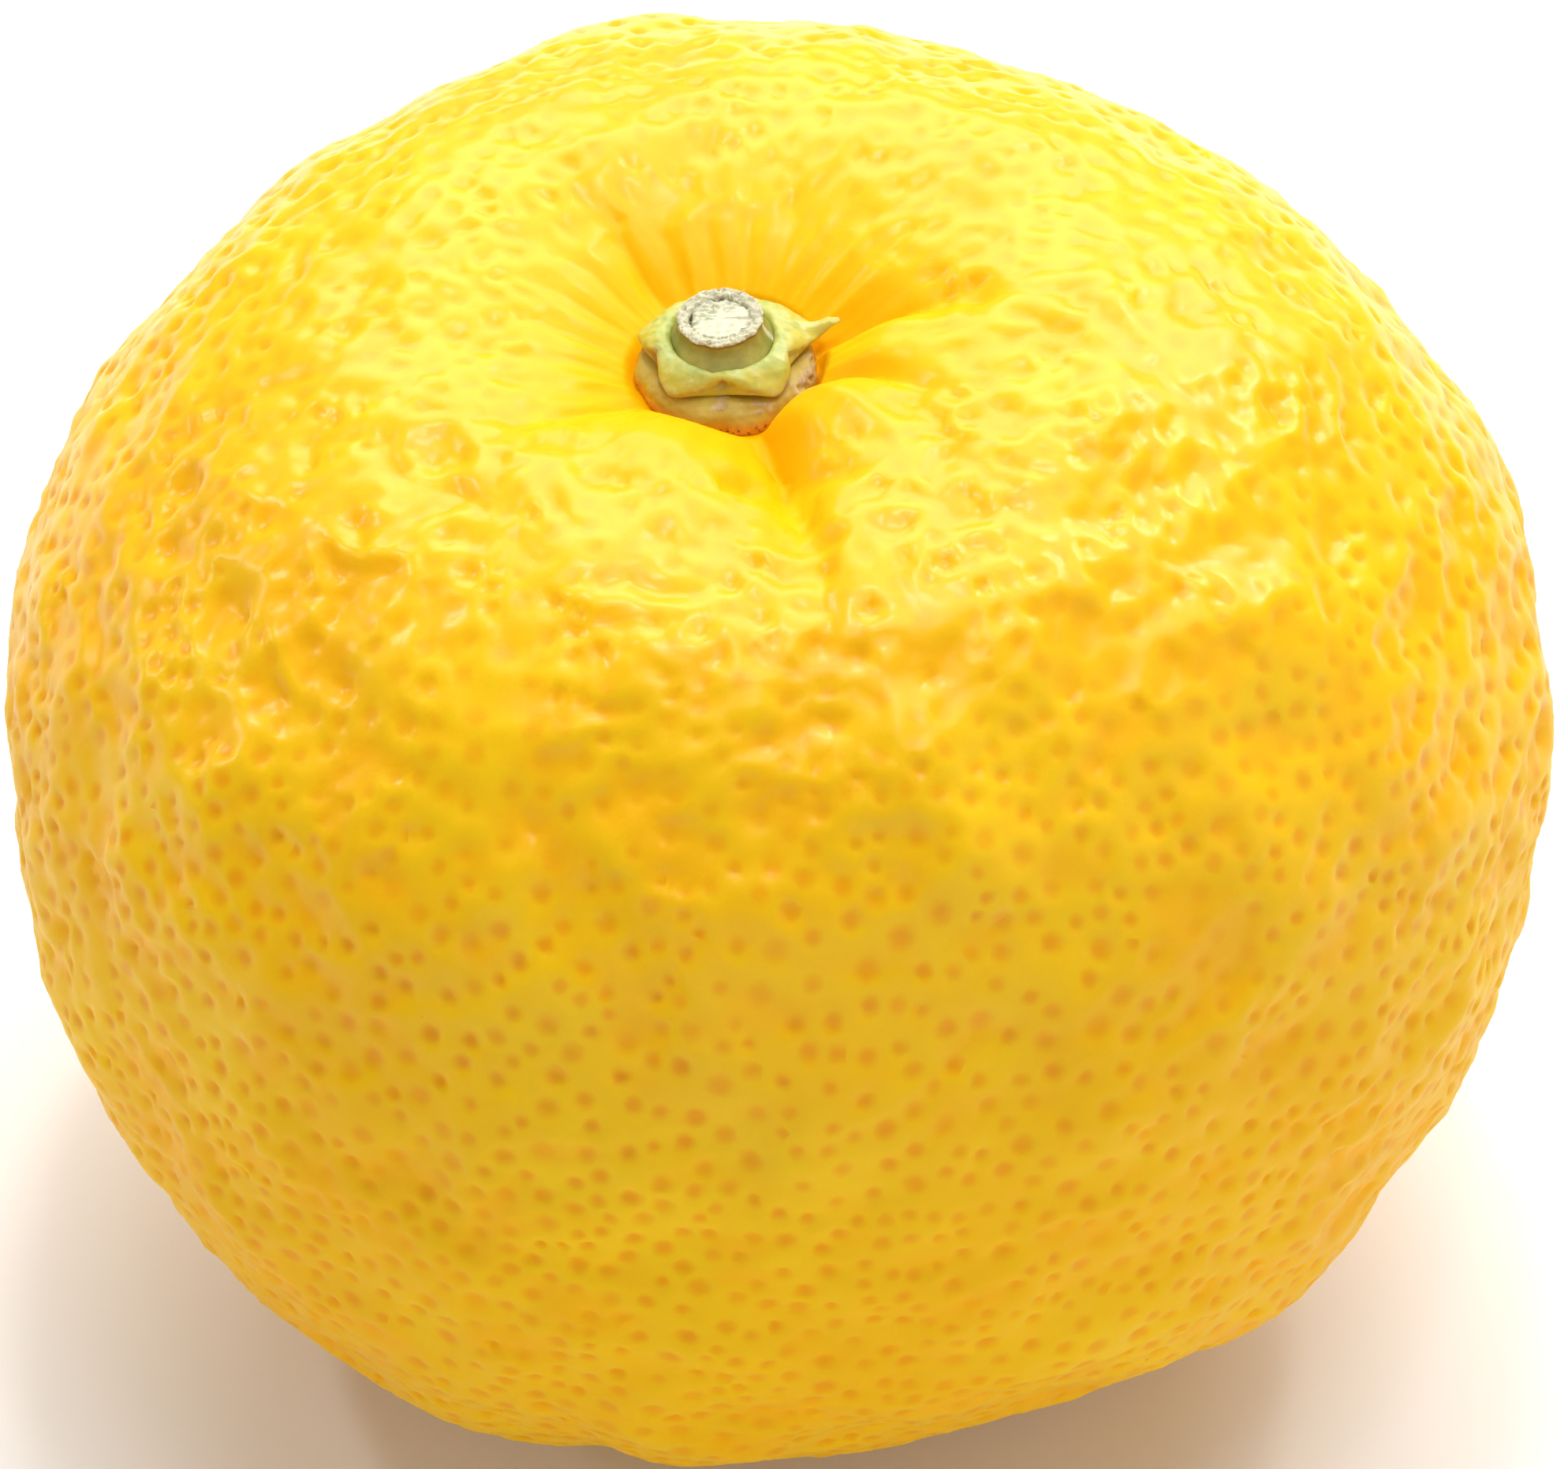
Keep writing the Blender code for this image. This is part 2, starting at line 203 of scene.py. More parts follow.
def smooth(t):
    """Rises from 0 to 1 as t does, with level ends."""
    t = np.clip(t, 0.0, 1.0)
    return t * t * (3.0 - 2.0 * t)


def angle_between(a, b):
    """The turn from b to a in degrees, from -180 to 180."""
    return (a - b + 180.0) % 360.0 - 180.0


def unit(vectors):
    return vectors / np.linalg.norm(vectors, axis=1)[:, None]


def bump(distance, reach):
    """A round bump of height 1 that fades out over this reach."""
    return np.exp(-((distance / reach) ** 2))


def beside(angle, middle, reach):
    """A bump of height 1 at this angle that fades out over this reach, in degrees."""
    return bump(angle_between(angle, middle), reach)


def from_axis(points):
    """Distance of each point from the upright line through the origin."""
    return np.hypot(points[:, 0], points[:, 1])


def random_field(points, wavelength, seed):
    """A smooth random height, mostly within -2 to 2, that changes over about a wavelength."""
    draw = np.random.default_rng(seed)
    ways = draw.normal(size=(WAVES_IN_A_FIELD, 3))
    ways /= np.linalg.norm(ways, axis=1)[:, None]
    lengths = wavelength * draw.uniform(0.75, 1.35, WAVES_IN_A_FIELD)
    phases = draw.uniform(0.0, 2.0 * np.pi, WAVES_IN_A_FIELD)
    turns = points @ (ways * (2.0 * np.pi / lengths)[:, None]).T + phases
    return np.cos(turns).sum(axis=1) * np.sqrt(2.0 / WAVES_IN_A_FIELD)


def plan_scale(angle):
    """How far the fruit's plan departs from a circle."""
    scale = np.ones_like(angle)
    for times, cosine, sine in PLAN_WAVES:
        scale += cosine * np.cos(times * angle) + sine * np.sin(times * angle)
    return scale


def plain_body(directions):
    """Points of a smooth flattened ball in these directions from its centre."""
    across = from_axis(directions)
    up = directions[:, 2]
    radius = FRUIT_RADIUS * plan_scale(np.arctan2(directions[:, 1], directions[:, 0]))
    height = np.where(up > 0, CROWN_HEIGHT, BASE_DEPTH)
    power = np.where(up > 0, CROWN_POWER, BASE_POWER)
    reach = ((across / radius) ** power + (np.abs(up) / height) ** power) ** (-1.0 / power)
    return directions * reach[:, None]


def round_the_stem(points):
    """Distance from the stem's axis, and angle round it in degrees."""
    x, y = points[:, 0] - STEM_OFFSET[0], points[:, 1] - STEM_OFFSET[1]
    return np.hypot(x, y), np.degrees(np.arctan2(y, x))


def crease_depths(out, angle):
    """How deep the creases lie below the crown, at these distances and angles from the stem."""
    depths = np.zeros_like(out)
    for near_angle, far_angle, reach, depth, clockwise, anticlockwise in CREASES:
        middle = near_angle + (far_angle - near_angle) * np.clip(out / reach, 0.0, 1.0)
        turn = np.radians(angle_between(angle, middle))
        aside = out * np.sin(np.clip(turn, -np.pi / 2, np.pi / 2))
        width = np.where(aside > 0.0, anticlockwise, clockwise)
        along = np.clip(1.0 - (out / reach) ** 2, 0.0, 1.0)
        along *= smooth((out - CREASE_START) / CREASE_RISE)
        depths += depth * along * np.exp(-np.abs(aside) / width)
    return depths


def crown_heights(points):
    """Heights of the crown, sunk towards the stem, with its creases and lobes."""
    out, angle = round_the_stem(points)
    height = points[:, 2] - HOLLOW_DEPTH * np.exp(-((out / HOLLOW_REACH) ** HOLLOW_POWER))
    height -= crease_depths(out, angle)
    for lobe_angle, distance, rise, radius in LOBES:
        turn = np.radians(lobe_angle)
        centre = STEM_OFFSET + distance * np.array([np.cos(turn), np.sin(turn)])
        height += rise * bump(np.hypot(points[:, 0] - centre[0], points[:, 1] - centre[1]), radius)
    wrinkled = smooth((out - WRINKLE_START) / (1.5 * MM)) * smooth((WRINKLE_END - out) / (6 * MM))
    height += WRINKLE_HEIGHT * wrinkled * np.cos(np.radians(WRINKLES * angle))
    floor = SEAT_LEVEL + SEAT_GROOVE
    height = np.where(out < HOLLOW_EDGE, np.maximum(height, floor), height)
    wall = smooth((out - SEAT_RADIUS) / SEAT_WALL)
    return SEAT_LEVEL + (height - SEAT_LEVEL) * wall


def fruit_surface(directions):
    """Points of the rind without its pits, in these directions from the fruit's centre."""
    points = plain_body(directions)
    out, _ = round_the_stem(points)
    on_crown = points[:, 2] > 0.0
    swell = np.zeros(len(points))
    for wavelength, height, seed in UNEVENNESS:
        swell += height * random_field(points, wavelength, seed)
    for place, height, radius in SWELLINGS:
        away = np.linalg.norm(points - np.array(place) * MM, axis=1)
        swell += height * MM * bump(away, radius * MM)
    swell *= np.where(on_crown, smooth((out - SEAT_RADIUS) / (6 * MM)), 1.0)
    across = from_axis(points)
    swell *= np.where(on_crown, 1.0, smooth((across - 5 * MM) / (7 * MM)))
    sunk = crown_heights(points)
    share = smooth(directions[:, 2] * 4.0)
    points[:, 2] = np.where(on_crown, points[:, 2] + (sunk - points[:, 2]) * share, points[:, 2])
    points += directions * swell[:, None]
    level = np.maximum(points[:, 2], REST_LEVEL)
    scar = FLOWER_SCAR_DEPTH * bump(across, FLOWER_SCAR_RADIUS)
    points[:, 2] = np.where(on_crown, points[:, 2], level + scar * (scar > 0.02 * MM))
    return points


def outward_normals(directions):
    """Unit normals of the rind, from two small steps across it."""
    step = 0.002
    aside = np.cross(directions, np.where(np.abs(directions[:, :1]) < 0.8, [1, 0, 0], [0, 1, 0]))
    aside /= np.linalg.norm(aside, axis=1)[:, None]
    along = np.cross(directions, aside)
    here = fruit_surface(directions)
    first = fruit_surface(unit(directions + step * aside)) - here
    second = fruit_surface(unit(directions + step * along)) - here
    return unit(np.cross(first, second))


def direction_of_crown(across):
    """Directions from the fruit's centre to points of the crown at these plan positions."""
    radius = FRUIT_RADIUS * plan_scale(np.arctan2(across[:, 1], across[:, 0]))
    share = from_axis(across) / radius
    height = CROWN_HEIGHT * (1.0 - share**CROWN_POWER) ** (1.0 / CROWN_POWER)
    return unit(np.column_stack([across, height]))


def ring_points(rings):
    """Plan positions of rings of points round the origin, each turned against the last."""
    points = []
    for number, (distance, count) in enumerate(rings):
        turns = (np.arange(count) + number % 2 / 2) * 2.0 * np.pi / count
        points.append(distance * MM * np.column_stack([np.cos(turns), np.sin(turns)]))
    return np.concatenate(points)


def ring_directions():
    """Directions of the rings that carry the seat with its wall, and the middle of the base."""
    seat = direction_of_crown(STEM_OFFSET + ring_points(SEAT_RINGS))
    across = ring_points(BASE_RINGS)
    base = unit(np.column_stack([across, np.full(len(across), REST_LEVEL)]))
    return np.concatenate([seat, base])


def ways_over_rind(points, normals):
    """Unit vectors over the rind at these points: away from the stem, and round it."""
    x, y = points[:, 0] - STEM_OFFSET[0], points[:, 1] - STEM_OFFSET[1]
    around = unit(np.column_stack([-y, x + 1e-9, np.zeros(len(points))]))
    return np.cross(around, normals), around


def nearness(points):
    """1 where the rind is drawn out towards the stem, falling to 0 away from it."""
    out, _ = round_the_stem(points)
    near = 1.0 - smooth((out - STRETCH_NEAR) / (STRETCH_FAR - STRETCH_NEAR))
    return np.where(points[:, 2] > 0.0, near, 0.0)


def shrinking(points):
    """How much a length over the rind counts near the stem: away from it, and round it."""
    near = nearness(points)
    around = 1.0 / (1.0 - PIT_CROWDING * near)
    return around / (1.0 + (PIT_STRETCH - 1.0) * near), around


def spread_apart(points, normals, gaps, free):
    """Indices of free points, in their order, that keep their gap from each one before, which
    is longer on the way out from the stem and shorter round it."""
    outwards, around = ways_over_rind(points, normals)
    along_share, around_share = shrinking(points)
    free = free.copy()
    kept = []
    for index in range(len(points)):
        if free[index]:
            kept.append(index)
            apart = points - points[index]
            along = (apart @ outwards[index]) * along_share[index]
            aside = (apart @ around[index]) * around_share[index]
            across = apart @ normals[index]
            free &= along**2 + aside**2 + across**2 > gaps[index] ** 2
    return np.array(kept)


def pit_directions(spacing):
    """Directions of the oil pits, spread at random over the rind between the rings."""
    draw = np.random.default_rng(PIT_SEED)
    directions = unit(draw.normal(size=(PIT_CANDIDATES, 3)))
    points = fruit_surface(directions)
    out, _ = round_the_stem(points)
    free = np.where(
        directions[:, 2] > 0.0,
        out > SEAT_RINGS[-1][0] * MM + RING_MARGIN,
        from_axis(points) > BASE_RINGS[-1][0] * MM + RING_MARGIN,
    )
    gaps = spacing * draw.uniform(1.0 - GAP_VARIETY, 1.0 + GAP_VARIETY, len(points))
    return directions[spread_apart(points, outward_normals(directions), gaps, free)]


def spread_net(directions):
    """The same directions with those round the stem moved apart, in the same arrangement."""
    pole = unit(np.array([[STEM_OFFSET[0], STEM_OFFSET[1], CROWN_HEIGHT]]))[0]
    level = directions @ pole
    share = (1.0 + level) + NET_SPREAD**2 * (1.0 - level)
    along = ((1.0 + level) - NET_SPREAD**2 * (1.0 - level)) / share
    aside = 2.0 * NET_SPREAD / share
    return along[:, None] * pole + aside[:, None] * (directions - level[:, None] * pole)


def rind_net(directions):
    """A net of small triangles over the unit ball, with rings of them round each direction,
    and in each triangle the number of its direction."""
    net = bmesh.new()
    cell = net.faces.layers.int.new("cell")
    for direction in spread_net(directions):
        net.verts.new(direction)
    bmesh.ops.convex_hull(net, input=net.verts)
    seeds = list(net.verts)
    if any(not seed.link_faces for seed in seeds):
        raise RuntimeError("the net of the rind leaves out some of its points")
    for seed, direction in zip(seeds, directions):
        seed.co = direction
    spans = list(net.edges)
    bmesh.ops.poke(net, faces=net.faces)
    bmesh.ops.rotate_edges(net, edges=spans, use_ccw=False)
    net.verts.ensure_lookup_table()
    for number in range(len(directions)):
        for face in net.verts[number].link_faces:
            face[cell] = number
    bmesh.ops.subdivide_edges(net, edges=net.edges, cuts=1, use_grid_fill=True)
    bmesh.ops.triangulate(net, faces=net.faces)
    bmesh.ops.recalc_face_normals(net, faces=net.faces)
    return net


def ridge_height(points, directions):
    """Height of crests that wander between the pits, drawn out sideways on the front."""
    around = np.degrees(np.arctan2(directions[:, 1], directions[:, 0]))
    turn = angle_between(around, FRONT_ANGLE) / FRONT_WIDTH
    narrowed = 1.0 - FRONT_STRETCH * np.exp(-(turn**2)) * smooth(1.6 * (1.0 - directions[:, 2]))
    down = FRUIT_RADIUS * np.arccos(np.clip(directions[:, 2], -1.0, 1.0))
    spread = np.column_stack([points[:, 0] * narrowed, points[:, 1] * narrowed, down])
    height = np.zeros(len(points))
    for wavelength, share, roundness, seed in RIDGES:
        field = random_field(spread, wavelength, seed)
        height += share * (RIDGE_LEVEL - np.sqrt(field**2 + roundness**2))
    calm = BACK_CALM * smooth((points[:, 1] + 4 * MM) / (16 * MM)) * smooth(directions[:, 2] * 2.0)
    return height * (1.0 - calm)


class Pits:
    """The oil pits, with their places, their sizes and the ways over the rind at each."""

    def __init__(self, directions, plain):
        self.places = fruit_surface(directions)
        self.ways = ways_over_rind(self.places, outward_normals(directions))
        self.shares = shrinking(self.places)
        draw = np.random.default_rng(PIT_SEED)
        self.sizes = draw.uniform(*PIT_SIZES, len(directions))
        self.depths = draw.uniform(*PIT_DEPTHS, len(directions))
        neighbours = self.nearest(self.places, 2)[:, 1]
        room = np.hypot(*self.offsets(self.places, neighbours)) / 2
        self.sizes = np.minimum(self.sizes, (room + PIT_OVERLAP) / PIT_REACH)
        self.sizes[:plain] = self.depths[:plain] = 0.0

    def offsets(self, places, numbers):
        """How far these places lie from the pits of these numbers: outwards, and round."""
        apart = places - self.places[numbers]
        return [
            (apart * way[numbers]).sum(axis=-1) * share[numbers]
            for way, share in zip(self.ways, self.shares)
        ]

    def nearest(self, places, count):
        """Numbers of the pits that lie nearest to each of these places."""
        tree = KDTree(len(self.places))
        for number, place in enumerate(self.places):
            tree.insert(place, number)
        tree.balance()
        return np.array([[found[1] for found in tree.find_n(place, count)] for place in places])

    def depth(self, places, reach):
        """Depth of round dents of this reach, 1 in the middle of a common one."""
        numbers = self.nearest(places, NEAREST_PITS)
        away = np.hypot(*self.offsets(places[:, None, :], numbers))
        sizes = np.maximum(self.sizes[numbers], 0.1)
        return (self.depths[numbers] * bump(away, reach * sizes)).sum(axis=1)


# ---------------------------------------------------------------- meshes and materials


def seat_place():
    """The middle of the seat in the frame, below the receptacle, which leans."""
    low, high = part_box("receptacle")
    middle = np.array((low + high) / 2)
    lean = LEAN * RECEPTACLE_WIDEST_AT
    return np.array([middle[0] - lean[0], middle[1] - lean[1], low.z - GAP])


def fruit_centre():
    """The fruit's centre in the frame."""
    return seat_place() - np.array([STEM_OFFSET[0], STEM_OFFSET[1], SEAT_LEVEL])


def finished(name, net, places, material, node):
    """A shaded object from this net with its points at these places, standing for a solid."""
    mesh = bpy.data.meshes.new(name)
    net.to_mesh(mesh)
    net.free()
    mesh.vertices.foreach_set("co", np.asarray(places, dtype=np.float32).ravel())
    mesh.update()
    mesh.shade_smooth()
    mesh.materials.append(material)
    piece = bpy.data.objects.new(name, mesh)
    bpy.context.scene.collection.objects.link(piece)
    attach(piece, "root")
    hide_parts(node)
    return piece


def paint(piece, **painted):
    """Keeps values for each point of the piece, by name, for its material to read."""
    for name, values in painted.items():
        attribute = piece.data.attributes.new(name, "FLOAT", "POINT")
        attribute.data.foreach_set("value", np.clip(values, 0.0, 1.0).astype(np.float32))


def feed(tree, socket, value):
    """Links a socket to another one, or sets it to a number or a colour."""
    if isinstance(value, bpy.types.NodeSocket):
        tree.links.new(value, socket)
    elif hasattr(value, "__len__") and len(value) == 3 and len(socket.default_value) == 4:
        socket.default_value = (*value, 1.0)
    else:
        socket.default_value = value


def node(tree, kind, inputs=None, **settings):
    """A new node with these settings, and its inputs linked or set by name."""
    made = tree.nodes.new(kind)
    for name, value in settings.items():
        setattr(made, name, value)
    for name, value in (inputs or {}).items():
        feed(tree, made.inputs[name], value)
    return made


def mixed(tree, share, first, second, way="MIX"):
    """The first colour turning into the second one as the share rises."""
    made = node(tree, "ShaderNodeMix", data_type="RGBA", blend_type=way, clamp_factor=True)
    for index, value in ((0, share), (6, first), (7, second)):
        feed(tree, made.inputs[index], value)
    return made.outputs[2]


def maths(tree, operation, first, second=0.0, clamp=False):
    made = node(tree, "ShaderNodeMath", operation=operation, use_clamp=clamp)
    feed(tree, made.inputs[0], first)
    feed(tree, made.inputs[1], second)
    return made.outputs[0]


def times(tree, first, second):
    return maths(tree, "MULTIPLY", first, second)


def ranged(tree, value, low, high, to_low=0.0, to_high=1.0):
    """The value moved from one range to another, with soft ends."""
    made = node(
        tree, "ShaderNodeMapRange",
        {"Value": value, "From Min": low, "From Max": high, "To Min": to_low, "To Max": to_high},
        interpolation_type="SMOOTHSTEP",
    )
    return made.outputs["Result"]


def attribute(tree, name):
    return node(tree, "ShaderNodeAttribute", attribute_name=name).outputs["Fac"]


def noise(tree, start, roughness):
    """The group's noise, at its own scale and detail."""
    inputs = {name: start.outputs[name] for name in ("Vector", "Scale", "Detail")}
    inputs["Roughness"] = roughness
    return node(tree, "ShaderNodeTexNoise", inputs).outputs["Fac"]


def fill_specks(tree, start, end):
    """Small round spots, each of its own size, in a share of the cells of a random pattern."""
    wander = node(
        tree, "ShaderNodeTexNoise",
        {"Vector": start.outputs["Vector"], "Scale": start.outputs["Scale"], "Detail": 2.0},
    )
    moved = node(tree, "ShaderNodeVectorMath", operation="MULTIPLY_ADD")
    for index, value in enumerate((wander.outputs["Color"], SPECK_WANDER, start.outputs["Vector"])):
        feed(tree, moved.inputs[index], value)
    cells = node(
        tree, "ShaderNodeTexVoronoi",
        {"Vector": moved.outputs["Vector"], "Scale": start.outputs["Scale"]},
    )
    near = maths(tree, "DIVIDE", cells.outputs["Distance"], start.outputs["Size"])
    spot = ranged(tree, near, 1.0, 0.55)
    draw = node(tree, "ShaderNodeSeparateColor", {"Color": cells.outputs["Color"]})
    chosen = maths(tree, "LESS_THAN", draw.outputs["Red"], start.outputs["Share"])
    feed(tree, end.inputs["Mask"], times(tree, spot, chosen))


def fill_mottle(tree, start, end):
    """Soft patches with a sharp or a wide edge."""
    low, high = (
        maths(tree, way, start.outputs["Level"], start.outputs["Edge"])
        for way in ("SUBTRACT", "ADD")
    )
    feed(tree, end.inputs["Mask"], ranged(tree, noise(tree, start, 0.6), low, high))


def fill_grain(tree, start, end):
    """Fine grain of a surface, as a change of its normal."""
    raised = times(tree, noise(tree, start, 0.65), start.outputs["Height"])
    relief = node(tree, "ShaderNodeBump", {"Height": raised, "Distance": 1.0, "Strength": 1.0})
    feed(tree, end.inputs["Normal"], relief.outputs["Normal"])


# Patterns that several materials share: name, what fills it, number inputs and output
PATTERNS = {
    "Specks": (fill_specks, {"Scale": 300.0, "Size": 0.3, "Share": 0.3}, "Mask"),
    "Mottle": (fill_mottle, {"Scale": 100.0, "Detail": 3.0, "Level": 0.5, "Edge": 0.15}, "Mask"),
    "Grain": (fill_grain, {"Scale": 3000.0, "Detail": 4.0, "Height": 0.00002}, "Normal"),
}
OUTPUT_KINDS = {"Mask": "NodeSocketFloat", "Normal": "NodeSocketVector"}


def pattern_group(name):
    """The node group of this pattern, built at its first use."""
    if name in bpy.data.node_groups:
        return bpy.data.node_groups[name]
    fill, inputs, output = PATTERNS[name]
    tree = bpy.data.node_groups.new(name, "ShaderNodeTree")
    tree.interface.new_socket("Vector", in_out="INPUT", socket_type="NodeSocketVector")
    for label, default in inputs.items():
        socket = tree.interface.new_socket(label, in_out="INPUT", socket_type="NodeSocketFloat")
        socket.default_value = default
    tree.interface.new_socket(output, in_out="OUTPUT", socket_type=OUTPUT_KINDS[output])
    fill(tree, node(tree, "NodeGroupInput"), node(tree, "NodeGroupOutput"))
    return tree


def object_place(tree):
    return node(tree, "ShaderNodeTexCoord").outputs["Object"]


def placed(tree, name, *values):
    """A shared pattern in a material, with its own values, on the object's coordinates."""
    made = node(tree, "ShaderNodeGroup", node_tree=pattern_group(name))
    feed(tree, made.inputs["Vector"], object_place(tree))
    for socket, value in zip(made.inputs[1:], values):
        feed(tree, socket, value)
    return made.outputs[0]


def mottle(tree, scale, detail, level, edge):
    """Patches, so many to a metre, with their detail, how rare they are and how wide their edge."""
    return placed(tree, "Mottle", scale, detail, level, edge)


def specked(tree, scale, size, share):
    """Spots, so many to a metre, with their size and the share of places that has one."""
    return placed(tree, "Specks", scale, size, share)


def grain(tree, scale, detail, height):
    """Fine relief, with its grains to a metre, its detail and its height in metres."""
    return placed(tree, "Grain", scale, detail, height)


def tinted(tree, colour, mask, strength, tint):
    """The colour with a tint laid over it where the mask is, at this strength."""
    return mixed(tree, times(tree, mask, strength), colour, tint)


def dress(tree, shader, values):
    """Links the shader's inputs to what changes over the surface, and sets the other ones."""
    for name, value in values.items():
        feed(tree, shader.inputs[name], value)


def new_material(name):
    """A material with its tree and its shader."""
    material = bpy.data.materials.new(name)
    material.use_nodes = True
    tree = material.node_tree
    return material, tree, tree.nodes["Principled BSDF"]


# ---------------------------------------------------------------- settings


def colour_setting(name, description, default):
    return FloatVectorProperty(
        name=name, description=description, subtype="COLOR", size=3, min=0.0, max=1.0,
        default=default,
    )


def length_setting(name, description, default):
    return FloatProperty(
        name=name, description=description, unit="LENGTH", subtype="DISTANCE", min=0.0,
        precision=5, default=default,
    )


class YuzuRindSettings(PropertyGroup):
    """Sizes and colours of the rind."""

    pit_spacing: length_setting("Pit Spacing", "Common distance between two pits", 1.14 * MM)
    pit_depth: length_setting("Pit Depth", "Depth of an oil pit", 0.25 * MM)
    pit_width: length_setting("Pit Width", "Reach of an oil pit from its middle", 0.48 * MM)
    bumpiness: length_setting("Bumpiness", "Height of the ridges between the pits", 0.20 * MM)
    wrinkle_height: length_setting("Wrinkles", "Height of wrinkles round the stem", 0.012 * MM)
    colour: colour_setting("Colour", "Yellow of the rind", (0.93, 0.575, 0.003))
    deep_colour: colour_setting("Deep Colour", "Riper patches of the rind", (0.91, 0.49, 0.002))
    pit_colour: colour_setting("Pit Colour", "Oil seen through the pits", (0.88, 0.365, 0.0003))
    # the hollow colour is painted shade and orange bounce light in the hollow round the stem and
    # its creases
    hollow_colour: colour_setting("Hollow Colour", "Folds by the stem", (0.93, 0.47, 0.001))
    speck_colour: colour_setting("Speck Colour", "Small scars", (0.22, 0.10, 0.02))


class YuzuButtonSettings(PropertyGroup):
    """Colours of the receptacle, the calyx and the stem."""

    sepal_colour: colour_setting("Sepal Colour", "Pale green by the stem", (0.50, 0.56, 0.15))
    sepal_edge: colour_setting("Sepal Edge", "Yellow of the lobes", (0.56, 0.48, 0.045))
    sepal_dots: colour_setting("Sepal Dots", "Dark oil glands", (0.22, 0.30, 0.03))
    bark_colour: colour_setting("Bark Colour", "Olive skin of the stem", (0.30, 0.25, 0.035))
    ring_colour: colour_setting("Ring Colour", "Dry ring of cut bark", (0.50, 0.46, 0.29))
    wood_colour: colour_setting("Wood Colour", "Freshly cut wood", (0.68, 0.68, 0.50))
    cork_colour: colour_setting("Cork Colour", "Corky scabs", (0.40, 0.25, 0.08))
    disc_colour: colour_setting("Disc Colour", "Skin of the receptacle", (0.50, 0.36, 0.03))
    disc_foot: colour_setting("Disc Foot", "Skin where it meets the rind", (0.80, 0.34, 0.005))


class YuzuStageSettings(PropertyGroup):
    """Light and floor."""

    floor_colour: colour_setting("Floor Colour", "Pale plain floor", (0.92, 0.92, 0.92))
    sky: FloatProperty(
        name="Room Light", description="Light that comes from all sides", min=0.0, default=0.24
    )
    exposure: FloatProperty(
        name="Box Light", description="Strength of all soft boxes", min=0.0, default=1.0
    )


# ---------------------------------------------------------------- pieces


# Colour of a pit of size 1: how far from its middle it is full and where it ends, and how far
# its edge wanders, in mm
PIT_FULL, PIT_END = 0.28, 0.84
PIT_WANDER = 0.26
# Painted shade of the valleys between the ridges, painted highlight on the crests of the wrinkles,
# and the depth of a valley that has its painted shade in full, against the height of the ridges
VALLEY_SHADE = (0.95, 0.45, 0.001)
CREST_HIGHLIGHT = (0.95, 0.59, 0.006)
VALLEY_DEPTH = 0.9
# Painted shade and orange bounce light in the hollow round the stem: its strength, its reach, and
# the depth of a crease that has it in full
HOLLOW_SHADE = 0.75
HOLLOW_SHADE_REACH = 8.5 * MM
HOLLOW_SHADE_CREASE = 3.0 * MM


def pit_mask(tree):
    """1 in the oil pits, with soft uneven edges, from the corners' offsets to their pit."""
    offset = node(tree, "ShaderNodeAttribute", attribute_name="pit_place").outputs["Vector"]
    parts = node(tree, "ShaderNodeSeparateXYZ", {"Vector": offset})
    level = node(tree, "ShaderNodeCombineXYZ", {"X": parts.outputs["X"], "Y": parts.outputs["Y"]})
    away = node(tree, "ShaderNodeVectorMath", {0: level.outputs["Vector"]}, operation="LENGTH")
    wander = times(tree, mottle(tree, 1100.0, 2.0, 0.5, 0.4), PIT_WANDER)
    away = maths(tree, "ADD", away.outputs["Value"], wander)
    size = parts.outputs["Z"]
    spot = ranged(tree, away, times(tree, size, PIT_END), times(tree, size, PIT_FULL))
    return times(tree, spot, maths(tree, "GREATER_THAN", size, 0.01))


